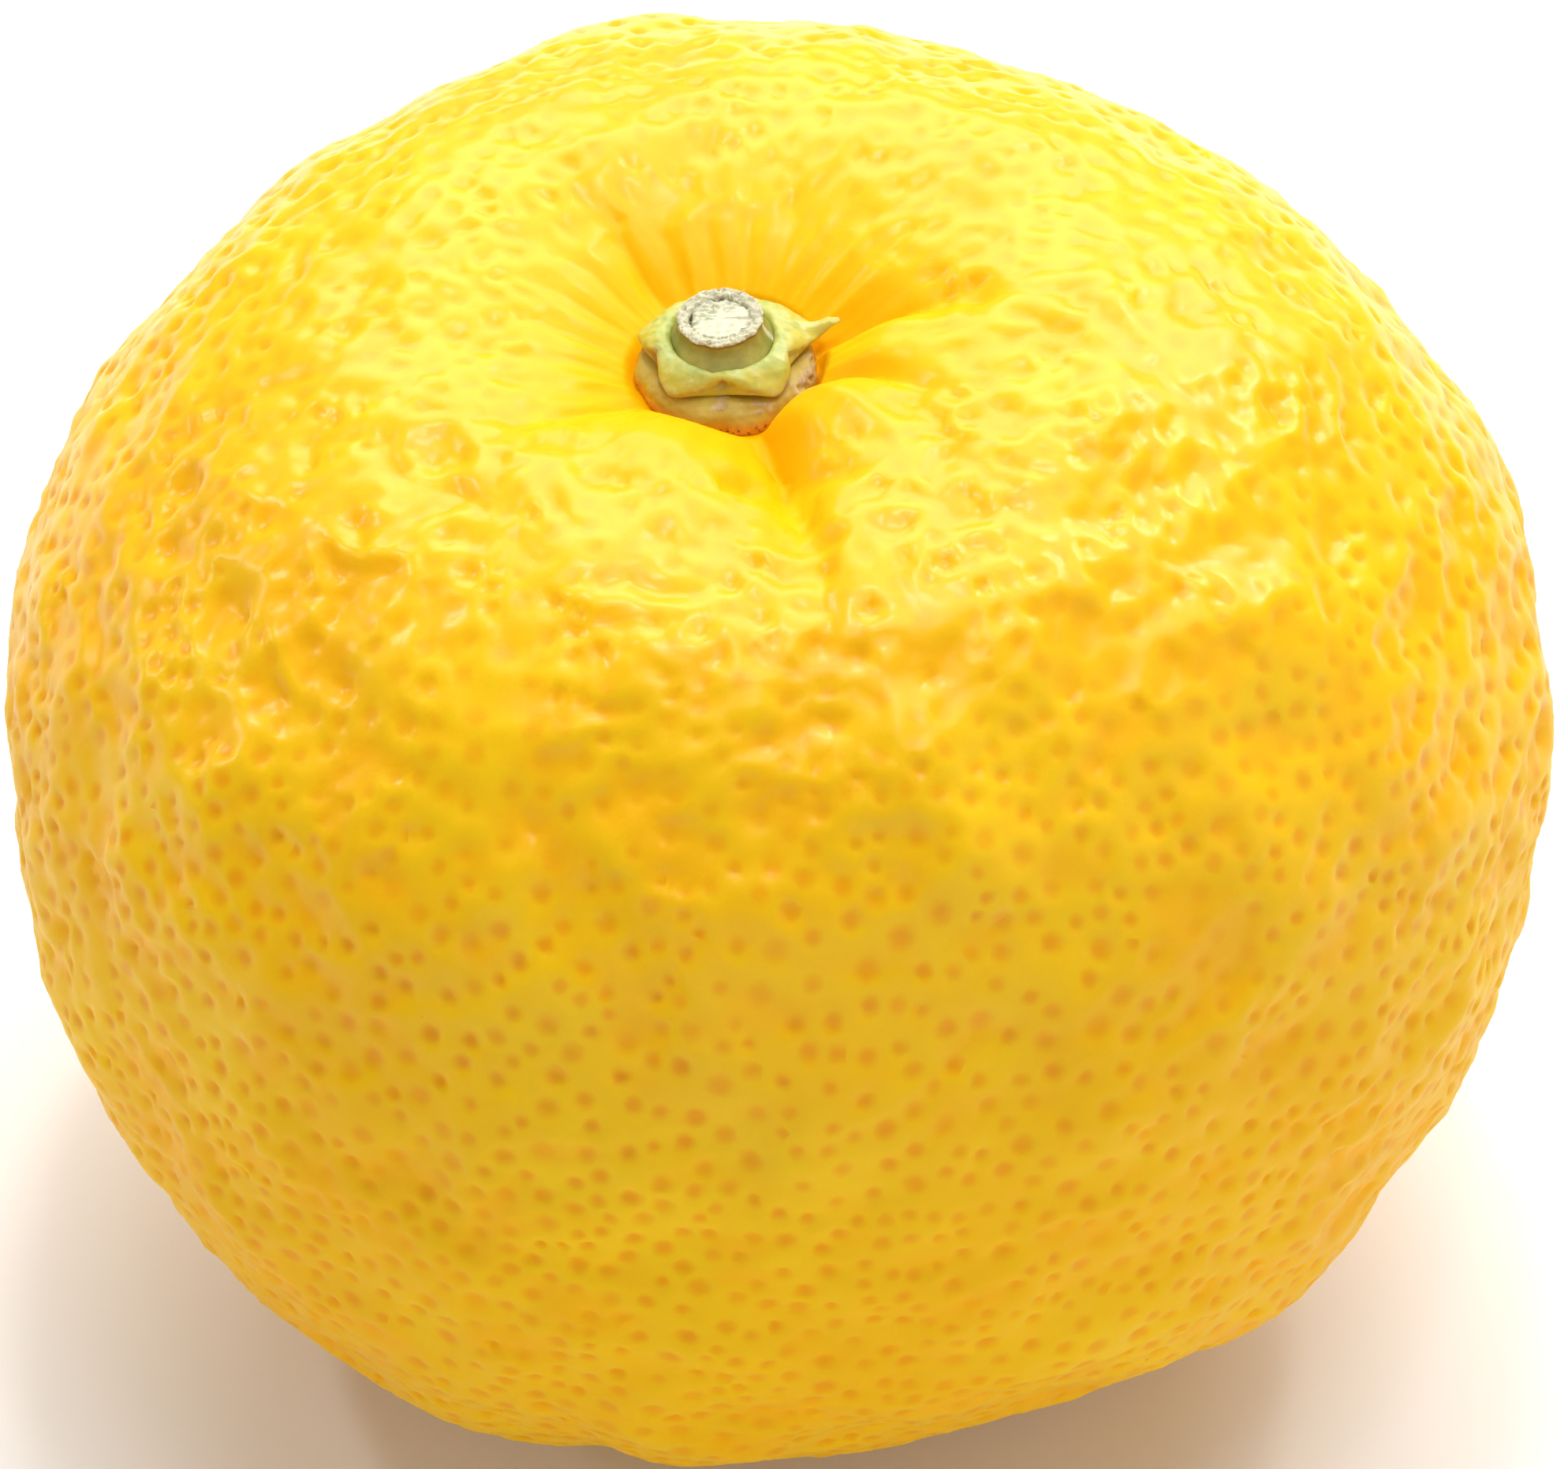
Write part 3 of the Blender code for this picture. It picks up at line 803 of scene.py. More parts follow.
def rind_material(settings):
    """Waxy yellow skin with orange oil pits and a few scars, with painted highlights on the
    wrinkles by the stem and painted shade in the hollow, its creases and the valleys between the
    ridges.
    """
    material, tree, shader = new_material("yuzu rind")
    broad = mottle(tree, 70.0, 3.0, 0.5, 0.22)
    small = mottle(tree, 520.0, 3.0, 0.5, 0.25)
    colour = mixed(tree, broad, settings.colour, settings.deep_colour)
    colour = tinted(tree, colour, small, 0.35, settings.deep_colour)
    height = node(tree, "ShaderNodeSeparateXYZ", {"Vector": object_place(tree)}).outputs["Z"]
    low_down = ranged(tree, height, 0.030, 0.0, 0.0, 0.25)
    colour = mixed(tree, low_down, colour, settings.deep_colour)
    pit = pit_mask(tree)
    uneven = mottle(tree, 330.0, 1.0, 0.5, 0.2)
    pit = times(tree, pit, ranged(tree, uneven, 0.0, 1.0, 0.72, 1.0))
    paler_above = ranged(tree, height, 0.055, 0.042, 0.42, 1.0)
    colour = tinted(tree, colour, pit, paler_above, settings.pit_colour)
    # painted shade: the valleys between the ridges turn deeper orange
    colour = tinted(tree, colour, attribute(tree, "low"), 0.7, VALLEY_SHADE)
    # painted shade and orange bounce light in the hollow round the stem, deeper in its creases
    hollow = attribute(tree, "hollow")
    colour = mixed(tree, hollow, colour, settings.hollow_colour)
    # painted highlight: the crests of the wrinkles by the stem turn paler
    colour = tinted(tree, colour, attribute(tree, "ridge"), 0.45, CREST_HIGHLIGHT)
    specks = specked(tree, 260.0, 0.035, 0.3)
    colour = tinted(tree, colour, specks, 0.4, settings.speck_colour)
    waxy = ranged(tree, height, 0.028, 0.048, 0.08, 0.54)
    open_skin = maths(tree, "SUBTRACT", 1.0, times(tree, hollow, 1.5), clamp=True)
    shader.subsurface_method = "BURLEY"
    dress(tree, shader, {
        "Base Color": colour,
        "Roughness": ranged(tree, small, 0.0, 1.0, 0.36, 0.46),
        "Normal": grain(tree, 1900.0, 4.0, 0.00002),
        "IOR": 1.34,
        "Coat Weight": times(tree, waxy, open_skin),
        "Specular IOR Level": 0.10,
        "Subsurface Weight": 0.45,
        "Subsurface Radius": (1.0, 0.45, 0.08),
        "Subsurface Scale": 0.0013,
        "Coat Roughness": 0.27,
        "Coat IOR": 1.45,
    })
    return material


def paint_pits(rind, pits, plain, pitted):
    """Keeps at each corner of a triangle how far it lies from its own pit, in mm, and how wide
    that pit is."""
    mesh = rind.data
    corners = np.zeros(len(mesh.loops), dtype=np.int32)
    mesh.loops.foreach_get("vertex_index", corners)
    cells = np.zeros(len(mesh.polygons), dtype=np.int32)
    mesh.attributes["cell"].data.foreach_get("value", cells)
    cells = np.repeat(cells, 3)
    outwards, around = pits.offsets(plain[corners], cells)
    sizes = pits.sizes[cells] * pitted[corners] ** 0.5
    offsets = np.column_stack([outwards / MM, around / MM, sizes]).astype(np.float32)
    mesh.attributes.remove(mesh.attributes["cell"])
    place = mesh.attributes.new("pit_place", "FLOAT_VECTOR", "CORNER")
    place.data.foreach_set("vector", offsets.ravel())


def fine_wrinkles(plain):
    """Waves that run out from the stem, from -1 to 1, and where they are, from 0 to 1."""
    out, angle = round_the_stem(plain)
    wobble = WOBBLE * random_field(plain, WOBBLE_LENGTH, WOBBLE_SEED)
    waves = np.cos(np.radians(FINE_WRINKLES * angle) + wobble)
    waves *= 0.75 + 0.25 * np.cos(wobble * 3.1)
    share = smooth((out - SEAT_RADIUS) / (0.8 * MM)) * smooth((FINE_WRINKLE_END - out) / (4 * MM))
    from_back = np.abs(angle_between(angle, BACK_ANGLE))
    return waves, share * smooth((FINE_WRINKLE_SIDE - from_back) / 40.0)


class YuzuPiece:
    """What every operator here shares."""

    bl_options = {"REGISTER", "UNDO"}


class YUZU_OT_rind(YuzuPiece, Operator):
    """Add the rind with its oil pits in place of the fruit's solid"""

    bl_idname = "object.yuzu_rind"
    bl_label = "Rind"

    def execute(self, context):
        settings = context.scene.yuzu_rind
        rings = ring_directions()
        seeds = np.concatenate([rings, pit_directions(settings.pit_spacing)])
        net = rind_net(seeds)
        directions = unit(np.array([vertex.co for vertex in net.verts]))
        pits = Pits(seeds, len(rings))
        plain = fruit_surface(directions)

        out, angle = round_the_stem(plain)
        on_crown = directions[:, 2] > 0.0
        off_seat = np.where(on_crown, smooth((out - PITS_START) / (5 * MM)), 1.0)
        off_flat = smooth((plain[:, 2] - REST_LEVEL) / (1.5 * MM))
        pitted = off_seat * off_flat
        shallower = CROWN_SHALLOWER * smooth((plain[:, 2] - 8 * MM) / (12 * MM))
        depth = settings.pit_depth * (1.0 - shallower)
        relief = -depth * pits.depth(plain, settings.pit_width) * pitted
        in_front = beside(angle, FRONT_ANGLE, FRONT_CALM_WIDTH)
        below = smooth((FRONT_CALM_BELOW - plain[:, 2]) / (9 * MM))
        calm = 1.0 - FRONT_CALM * in_front * below
        ridges = ridge_height(plain, directions) * pitted * calm
        relief += settings.bumpiness * ridges
        relief += SMALL_BUMP_HEIGHT * random_field(plain, *SMALL_BUMPS) * pitted * calm
        waves, wrinkled = fine_wrinkles(plain)
        wrinkled *= on_crown
        relief += settings.wrinkle_height * waves * wrinkled
        places = plain + outward_normals(directions) * relief[:, None]
        places[:, 2] = np.maximum(places[:, 2], REST_LEVEL)

        # Painted shade in the hollow round the stem, deeper in the creases
        hollow = HOLLOW_SHADE * bump(out, HOLLOW_SHADE_REACH)
        hollow += crease_depths(out, angle) / HOLLOW_SHADE_CREASE
        rind = finished(
            "rind", net, places + fruit_centre(), rind_material(settings), "fruit"
        )
        # low is painted shade in the valleys between the ridges
        paint(
            rind, hollow=hollow * on_crown, low=smooth(-ridges / VALLEY_DEPTH),
            # painted highlight along the crests of the wrinkles
            ridge=np.maximum(waves, 0.0) * wrinkled
        )
        paint_pits(rind, pits, plain, pitted)
        return {"FINISHED"}


def rounded(profile, steps):
    """A smooth line through the points of a profile, with this many steps between two."""
    line = np.array(profile) * MM
    ends = np.concatenate([[2 * line[0] - line[1]], line, [2 * line[-1] - line[-2]]])
    t = np.linspace(0.0, 1.0, steps, endpoint=False)[:, None]
    points = []
    for before, start, end, after in zip(ends, ends[1:], ends[2:], ends[3:]):
        points.append(
            start
            + 0.5 * t * (end - before)
            + t**2 * (before - 2.5 * start + 2.0 * end - 0.5 * after)
            + t**3 * (-0.5 * before + 1.5 * start - 1.5 * end + 0.5 * after)
        )
    points = np.concatenate([*points, line[-1:]])
    points[:, 0] = np.maximum(points[:, 0], 0.0)
    return points


def turned(profile, steps):
    """A body turned from a line of radii and heights."""
    body = bmesh.new()
    ring = [body.verts.new((radius, 0.0, height)) for radius, height in profile]
    edges = [body.edges.new(pair) for pair in zip(ring, ring[1:])]
    bmesh.ops.spin(
        body, geom=ring + edges, cent=(0, 0, 0), axis=(0, 0, 1), angle=2.0 * np.pi,
        steps=steps, use_merge=True
    )
    bmesh.ops.remove_doubles(body, verts=body.verts, dist=0.0005 * MM)
    bmesh.ops.triangulate(body, faces=[face for face in body.faces if len(face.verts) > 4])
    bmesh.ops.recalc_face_normals(body, faces=body.faces)
    return body


def polar(places):
    """Distance from the button's axis, angle in degrees, and height, of each point."""
    angle = np.degrees(np.arctan2(places[:, 1], places[:, 0]))
    return from_axis(places), angle, places[:, 2].copy()


def leaning(places):
    """The places on the seat in the frame, leaning as the stem does."""
    leant = places.copy()
    leant[:, :2] += LEAN * places[:, 2:]
    return leant + seat_place()


# Outline of the receptacle, as radii and heights above the seat in mm
RECEPTACLE_LINE = (
    (0.0, -0.05), (2.0, -0.05), (3.4, -0.06), (3.92, 0.0), (4.0, 0.2), (3.95, 0.45),
    (3.82, 0.72), (3.6, 0.92), (3.25, 1.04), (2.4, 1.08), (0.0, 1.08)
)
# Corky scabs: angle, half width in degrees, height in mm, half height, how far they stand out
SCABS = (
    (-16.0, 24.0, 0.80, 0.30, 0.16),
    (-62.0, 10.0, 0.92, 0.17, 0.05),
    (-92.0, 7.0, 1.02, 0.12, 0.04),
    (150.0, 8.0, 0.95, 0.15, 0.04),
)
# Random fields of its skin, as wavelength and seed, and how high they stand
DISC_CRUMBS = (0.35 * MM, 41)
DISC_UNEVENNESS = (1.6 * MM, 42)
DISC_BLOTCHES = (0.9 * MM, 43)
DISC_CRUMB_HEIGHT = 0.012 * MM
DISC_UNEVEN_HEIGHT = 0.05 * MM
# Tints of the disc: its patches, the cork's pale parts and crumbs, and its specks
DISC_PATCH = (0.42, 0.22, 0.02)
PALE_CORK = (0.56, 0.40, 0.17)
CORK_CRUMB = (0.26, 0.14, 0.06)
DISC_SPECK = (0.12, 0.045, 0.01)


def receptacle_material(settings):
    """Olive skin turning orange at its foot, with corky scabs and fine brown specks."""
    material, tree, shader = new_material("yuzu receptacle")
    patches = mottle(tree, 900.0, 4.0, 0.5, 0.12)
    colour = mixed(tree, attribute(tree, "foot"), settings.disc_colour, settings.disc_foot)
    colour = tinted(tree, colour, patches, 0.35, DISC_PATCH)
    cork = mixed(tree, patches, settings.cork_colour, PALE_CORK)
    crumbs = specked(tree, 5200.0, 0.45, 0.5)
    cork = tinted(tree, cork, crumbs, 0.5, CORK_CRUMB)
    colour = mixed(tree, attribute(tree, "scab"), colour, cork)
    specks = specked(tree, 4200.0, 0.42, 0.55)
    specks = times(tree, specks, attribute(tree, "speckled"))
    colour = tinted(tree, colour, specks, 0.85, DISC_SPECK)
    dress(tree, shader, {
        "Base Color": colour,
        "Roughness": ranged(tree, patches, 0.0, 1.0, 0.45, 0.7),
        "Normal": grain(tree, 5200.0, 5.0, 0.00003),
        "Subsurface Weight": 0.15,
        "Subsurface Radius": (1.0, 0.5, 0.15),
        "Subsurface Scale": 0.0006,
    })
    return material


class YUZU_OT_receptacle(YuzuPiece, Operator):
    """Add the swollen disc that the fruit hung from, in place of its solid"""

    bl_idname = "object.yuzu_receptacle"
    bl_label = "Receptacle"

    def execute(self, context):
        body = turned(rounded(RECEPTACLE_LINE, 5), 200)
        places = np.array([vertex.co for vertex in body.verts])
        out, angle, height = polar(places)
        outer = smooth((out - 2.8 * MM) / (0.8 * MM))
        scab = np.zeros(len(places))
        raised = np.zeros(len(places))
        for scab_angle, half_width, level, half_height, proud in SCABS:
            spot = np.exp(-(np.abs(angle_between(angle, scab_angle)) / half_width) ** 4)
            spot *= bump(height - level * MM, half_height * MM)
            scab += spot
            raised += proud * MM * spot
        crumbly = random_field(places, *DISC_CRUMBS)
        blotchy = random_field(places, *DISC_BLOTCHES)
        grow = DISC_UNEVEN_HEIGHT * random_field(places, *DISC_UNEVENNESS)
        grow += raised * (1.0 + 0.35 * crumbly) + DISC_CRUMB_HEIGHT * crumbly
        places[:, :2] *= 1.0 + (grow * outer / np.maximum(out, MM))[:, None]
        places[:, 2] += 0.3 * grow * outer
        disc = finished(
            "receptacle_disc", body, leaning(places),
            receptacle_material(context.scene.yuzu_button), "receptacle"
        )
        paint(
            disc, scab=smooth((scab - 0.45 + 0.22 * crumbly + 0.12 * blotchy) / 0.55),
            foot=smooth((0.75 * MM - height) / (0.6 * MM)),
            speckled=bump(height - 0.18 * MM, 0.2 * MM) * outer
        )
        return {"FINISHED"}


# Calyx: its lobes, the angles of one notch and of the tip, the radius of its cup in mm, how much
# shorter it is in front, and its random fields, as wavelength and seed
SEPALS = 5
SEPAL_NOTCH_ANGLE = -90.0
TIP_ANGLE = 18.0
CALYX_CUP = 2.05
CALYX_SHORTER = 0.13
CALYX_UNEVENNESS = (2.2 * MM, 51)
CALYX_WARTS = (0.55 * MM, 52)
# Brown scars: angle and reach in degrees, where they start and how wide that edge is, as shares
# of the way out to the rim, and how strong they are
CALYX_SCARS = ((196.0, 8.0, 0.4, 0.3, 0.7), (-90.0, 5.0, 0.8, 0.2, 0.6))
# Notches and points of its lobes: widths in degrees, how much of the reach they take away or
# add, and how far they rise or dip, in mm
NOTCH_WIDTHS = (5.5, 17.0)
NOTCH_BACK, NOTCH_RISE = 0.21, 0.28
POINT_WIDTH = 10.0
POINT_OUT, POINT_DIP = 0.08, 0.18
# The drawn-out tip: widths in degrees, reach, level and rise of its end
TIP_WIDTHS = (3.4, 11.0)
TIP_REACH = 1.45 * MM
TIP_LEVEL = 1.42 * MM
TIP_RISE = 0.26 * MM
# Outline of the calyx, as radii and heights above the seat in mm
CALYX_LINE = (
    (0.0, 1.0), (2.2, 1.0), (2.9, 1.06), (3.3, 1.15), (3.52, 1.25), (3.61, 1.37), (3.6, 1.5),
    (3.5, 1.66), (3.3, 1.84), (3.04, 2.0), (2.76, 2.11), (2.5, 2.15), (2.34, 2.08), (2.22, 1.92),
    (2.0, 1.78), (0.0, 1.78)
)
# Tints of the calyx: pale and green patches, and scars
PALE_PATCH = (0.62, 0.62, 0.30)
GREEN_PATCH = (0.34, 0.42, 0.05)
SEPAL_SCAR = (0.36, 0.22, 0.07)


def calyx_material(settings):
    """Pale green skin turning yellow on the lobes, with dark green glands and brown edges."""
    material, tree, shader = new_material("yuzu calyx")
    patches = mottle(tree, 700.0, 3.0, 0.5, 0.15)
    edge = attribute(tree, "edge")
    wander = maths(tree, "ADD", edge, times(tree, patches, 0.5))
    colour = mixed(tree, wander, settings.sepal_colour, settings.sepal_edge)
    pale = mottle(tree, 1500.0, 4.0, 0.58, 0.08)
    colour = tinted(tree, colour, pale, 0.4, PALE_PATCH)
    green = mottle(tree, 1100.0, 2.0, 0.62, 0.08)
    colour = tinted(tree, colour, green, 0.55, GREEN_PATCH)
    dots = specked(tree, 2100.0, 0.42, 0.25)
    colour = tinted(tree, colour, dots, 0.3, settings.sepal_dots)
    colour = mixed(tree, attribute(tree, "scar"), colour, SEPAL_SCAR)
    dress(tree, shader, {
        "Base Color": colour,
        "Roughness": ranged(tree, patches, 0.0, 1.0, 0.36, 0.5),
        "Normal": grain(tree, 4200.0, 4.0, 0.000018),
        "Subsurface Weight": 0.25,
        "Subsurface Radius": (0.8, 0.8, 0.2),
        "Subsurface Scale": 0.0006,
    })
    return material


class YUZU_OT_calyx(YuzuPiece, Operator):
    """Add the five-lobed calyx with its drawn-out tip, in place of its solid"""

    bl_idname = "object.yuzu_calyx"
    bl_label = "Calyx"

    def execute(self, context):
        body = turned(rounded(CALYX_LINE, 4), 240)
        near_tip = []
        for edge in body.edges:
            middle = (edge.verts[0].co + edge.verts[1].co) / 2
            turn = math.degrees(math.atan2(middle.y, middle.x))
            if abs(angle_between(turn, TIP_ANGLE)) < 9.0 and middle.xy.length > 3.0 * MM:
                near_tip.append(edge)
        bmesh.ops.subdivide_edges(body, edges=near_tip, cuts=1, use_grid_fill=True)
        bmesh.ops.triangulate(body, faces=body.faces)
        places = np.array([vertex.co for vertex in body.verts])
        out, angle, height = polar(places)
        rim = max(radius for radius, _ in CALYX_LINE)
        share = np.clip((out / MM - CALYX_CUP) / (rim - CALYX_CUP), 0.0, 1.0)

        from_notch = angle_between(angle * SEPALS, SEPAL_NOTCH_ANGLE * SEPALS) / SEPALS
        lobe = np.round((angle - SEPAL_NOTCH_ANGLE) / (360.0 / SEPALS) - 0.5)
        notch = 0.3 * np.exp(-np.abs(from_notch) / NOTCH_WIDTHS[0])
        notch += 0.7 * bump(from_notch, NOTCH_WIDTHS[1])
        point = bump(np.abs(from_notch) - 180.0 / SEPALS, POINT_WIDTH)
        uneven = random_field(places, *CALYX_UNEVENNESS)
        grow = share**4 * (0.03 + POINT_OUT * point - NOTCH_BACK * notch)
        grow += 0.014 * uneven * share
        tip = 0.72 * beside(angle, TIP_ANGLE, TIP_WIDTHS[0])
        tip += 0.28 * beside(angle, TIP_ANGLE, TIP_WIDTHS[1])
        reach = TIP_REACH * np.minimum(1.2 * tip, 1.0) * share**3
        places[:, :2] *= (1.0 + grow + reach / np.maximum(out, MM))[:, None]
        in_front = smooth((-places[:, 1] - 1.4 * MM) / (1.6 * MM))
        places[:, 1] *= 1.0 - CALYX_SHORTER * in_front * share
        places[:, 2] += MM * share**3 * (NOTCH_RISE * notch - POINT_DIP * point)
        places[:, 2] += 0.03 * MM * uneven * smooth((out - 2.1 * MM) / (0.5 * MM))
        squeeze = smooth(reach / (1.2 * MM))
        places[:, 2] += 0.55 * squeeze * (TIP_LEVEL - places[:, 2]) + TIP_RISE * squeeze**3
        places[:, 2] += 0.05 * MM * np.sin(lobe * 2.4) * share
        warts = random_field(places, *CALYX_WARTS)
        places[:, 2] += 0.014 * MM * warts * smooth((height - 1.3 * MM) / (0.3 * MM))

        crown = finished(
            "calyx_crown", body, leaning(places),
            calyx_material(context.scene.yuzu_button), "calyx"
        )
        scar = np.zeros(len(places))
        for scar_angle, reach, start, edge, strength in CALYX_SCARS:
            spot = beside(angle, scar_angle, reach) * smooth((share - start) / edge)
            scar += strength * spot
        scar += smooth((share - 0.93) / 0.07) * bump(height - 1.45 * MM, 0.12 * MM) * 0.45
        paint(
            crown, edge=smooth((share - 0.25) / 0.7) * 0.8, scar=scar * (0.75 + 0.25 * warts)
        )
        return {"FINISHED"}


# Outline of the stem, as radii and heights above the seat in mm
STEM_LINE = (
    (0.0, 1.72), (1.9, 1.72), (2.14, 1.84), (2.24, 1.98), (2.18, 2.14), (2.06, 2.32), (1.95, 2.5),
    (1.88, 2.68), (1.86, 2.84), (1.89, 2.95), (1.885, 3.03), (1.8, 3.075), (1.66, 3.08),
    (1.5, 3.05), (1.38, 3.0), (1.28, 2.98), (1.1, 2.985), (0.8, 2.99), (0.4, 2.995), (0.0, 3.0)
)
# Cut of the stem: its slope, the height of its edge and the radius of its face, how far the foot
# stands forward, and the inner radius of the ring of bark, in mm
CUT_SLOPE = 0.06
CUT_EDGE = 2.9 * MM
CUT_RADIUS = 1.84 * MM
FOOT_FORWARD = 0.14
RING_INSIDE = 1.3
# Where the ring stands off the wood: angle and reach in degrees, and how far it does
RING_GAPS = ((176.0, 13.0, 1.6), (95.0, 25.0, 0.5))
# Random fields of the stem, as wavelength and seed
WOOD_FIBRES = (0.16 * MM, 62)
CHIPS = (0.32 * MM, 63)
CRUMBS = (0.12 * MM, 64)
RIBS = (0.7 * MM, 65)
FRAY = (0.2 * MM, 66)
# Torn fibres: how many, their seed, the share of them at the left, and where that is, in degrees
SLIVERS = 26
SLIVER_SEED = 61
SLIVERS_AT_LEFT = 0.55
SLIVER_ANGLE, SLIVER_SPREAD = 165.0, 22.0
SLIVER_LEVEL = 3.09 * MM
# Tints of the stem: pale and green bark, painted shadow under the lip of its cut rim, the ring's
# pale and dark crumbs, the darker wood, and painted shade in the gap between wood and ring
PALE_BARK = (0.40, 0.36, 0.06)
GREEN_BARK = (0.20, 0.25, 0.03)
SHADOW_UNDER_RIM = (0.20, 0.11, 0.03)
PALE_CRUMB = (0.66, 0.62, 0.43)
DARK_CRUMB = (0.26, 0.18, 0.08)
DARKER_WOOD = (0.56, 0.52, 0.31)
SHADE_IN_GAP = (0.10, 0.065, 0.025)


def stem_material(settings):
    """Olive bark, the dry grey ring where it is cut, and pale torn wood, with a painted shadow
    under the ring's lip and painted shade in the gap between ring and wood.
    """
    material, tree, shader = new_material("yuzu stem")
    patches = mottle(tree, 900.0, 4.0, 0.5, 0.16)
    side = mixed(tree, patches, settings.bark_colour, PALE_BARK)
    green = mottle(tree, 500.0, 2.0, 0.52, 0.1)
    side = tinted(tree, side, green, 0.5, GREEN_BARK)
    # painted shadow in a band just under the lip of the cut ring
    side = mixed(tree, attribute(tree, "rim"), side, SHADOW_UNDER_RIM)
    crumbs = mottle(tree, 4200.0, 4.0, 0.5, 0.22)
    ring = mixed(tree, crumbs, settings.ring_colour, PALE_CRUMB)
    dark = specked(tree, 5200.0, 0.5, 0.22)
    ring = tinted(tree, ring, dark, 0.3, DARK_CRUMB)
    colour = mixed(tree, attribute(tree, "ring"), side, ring)
    fibres = mottle(tree, 4200.0, 5.0, 0.45, 0.2)
    wood = mixed(tree, fibres, DARKER_WOOD, settings.wood_colour)
    colour = mixed(tree, attribute(tree, "wood"), colour, wood)
    # painted shade in the gap where the ring stands off the wood
    colour = mixed(tree, attribute(tree, "gap"), colour, SHADE_IN_GAP)
    dress(tree, shader, {
        "Base Color": colour,
        "Roughness": ranged(tree, patches, 0.0, 1.0, 0.5, 0.7),
        "Normal": grain(tree, 5200.0, 4.0, 0.00002),
        "Subsurface Weight": 0.12,
        "Subsurface Radius": (0.9, 0.7, 0.4),
        "Subsurface Scale": 0.0004,
    })
    return material


def add_slivers(body):
    """Thin torn fibres that stand on the ring of bark, most of them at its left."""
    draw = np.random.default_rng(SLIVER_SEED)
    for number in range(SLIVERS):
        at_left = number < SLIVERS * SLIVERS_AT_LEFT
        if at_left:
            turn = math.radians(draw.normal(SLIVER_ANGLE, SLIVER_SPREAD))
        else:
            turn = math.radians(draw.uniform(-180.0, 180.0))
        out = draw.uniform(1.38, 1.78) * MM
        length = draw.uniform(0.28, 0.62 if at_left else 0.4) * MM
        heading = turn + math.radians(draw.normal(0.0, 55.0))
        lift = math.radians(draw.uniform(62.0, 86.0))
        spin = Euler((0.0, lift, heading)).to_matrix().to_4x4()
        x, y = out * math.cos(turn), out * math.sin(turn)
        place = Matrix.Translation((x, y, SLIVER_LEVEL + CUT_SLOPE * x))
        bmesh.ops.create_cone(
            body, cap_ends=True, segments=7, radius1=draw.uniform(0.025, 0.05) * MM,
            radius2=0.008 * MM, depth=length, matrix=place @ spin
        )


class YUZU_OT_stem(YuzuPiece, Operator):
    """Add the cut stump of the stem, in place of its solid"""

    bl_idname = "object.yuzu_stem"
    bl_label = "Stem"

    def execute(self, context):
        body = turned(rounded(STEM_LINE, 4), 200)
        turned_points = len(body.verts)
        add_slivers(body)
        bmesh.ops.triangulate(body, faces=body.faces)
        places = np.array([vertex.co for vertex in body.verts])
        out, angle, height = polar(places)
        is_sliver = np.arange(len(places)) >= turned_points
        x, y = places[:, 0], places[:, 1]
        on_face = smooth((height - CUT_EDGE) / (0.08 * MM)) * (out < CUT_RADIUS) * ~is_sliver

        flat = np.column_stack([x, y, np.zeros(len(places))])
        torn = smooth((-0.45 * x + 0.89 * y + 0.1 * MM) / (0.5 * MM)) * (out < RING_INSIDE * MM)
        stretched = flat @ np.diag([0.22, 1.0, 1.0]) + np.array([0.0, 0.0, 0.2 * MM])
        fibres = random_field(stretched, *WOOD_FIBRES)
        chips = random_field(flat, *CHIPS)
        crumbs = random_field(flat, *CRUMBS)
        rise = torn * (-0.10 + 0.05 * fibres + 0.05 * np.maximum(chips, 0.0))
        rise += (1.0 - torn) * 0.008 * chips
        in_ring = smooth((out / MM - RING_INSIDE) / 0.08)
        rise = np.where(out > (RING_INSIDE + 0.02) * MM, 0.018 * crumbs + 0.03 * chips, rise)
        joint = bump(out / MM - RING_INSIDE - 0.01, 0.055)
        opened = joint * (0.3 + 0.3 * np.clip(chips, -1.0, 1.0))
        for gap_angle, reach, width in RING_GAPS:
            opened += joint * beside(angle, gap_angle, reach) * width
        opened = np.maximum(opened, 0.0)
        places[:, 2] += MM * on_face * (rise - 0.16 * opened)
        ribs = random_field(places * np.array([1.0, 1.0, 0.25]), *RIBS)
        side = (1.0 - on_face) * smooth((height - 1.9 * MM) / (0.2 * MM)) * ~is_sliver
        swell = 0.025 * MM * ribs * side
        fray = smooth((height - CUT_EDGE) / (0.12 * MM)) * side
        swell += 0.025 * MM * fray * random_field(places, *FRAY)
        places[:, :2] *= (1.0 + swell / np.maximum(out, MM))[:, None]
        foot = smooth((2.7 * MM - height) / (0.8 * MM)) * smooth((-y - 0.6 * MM) / (1.4 * MM))
        places[:, 1] *= 1.0 + FOOT_FORWARD * foot
        slope = smooth((height - 2.05 * MM) / MM) * ~is_sliver
        places[:, 2] += CUT_SLOPE * x * slope

        stump = finished(
            "stem_stump", body, leaning(places),
            stem_material(context.scene.yuzu_button), "stem"
        )
        top = smooth((height - 2.93 * MM) / (0.06 * MM))
        paint(
            # gap is painted shade in the gap between ring and wood
            stump, wood=on_face * (1.0 - in_ring), gap=opened * on_face,
            ring=np.where(is_sliver, 1.0, np.maximum(top, on_face)),
            # rim is a painted shadow just under the cut edge
            rim=bump(height - CUT_EDGE, 0.06 * MM) * (1.0 - on_face) * ~is_sliver
        )
        return {"FINISHED"}


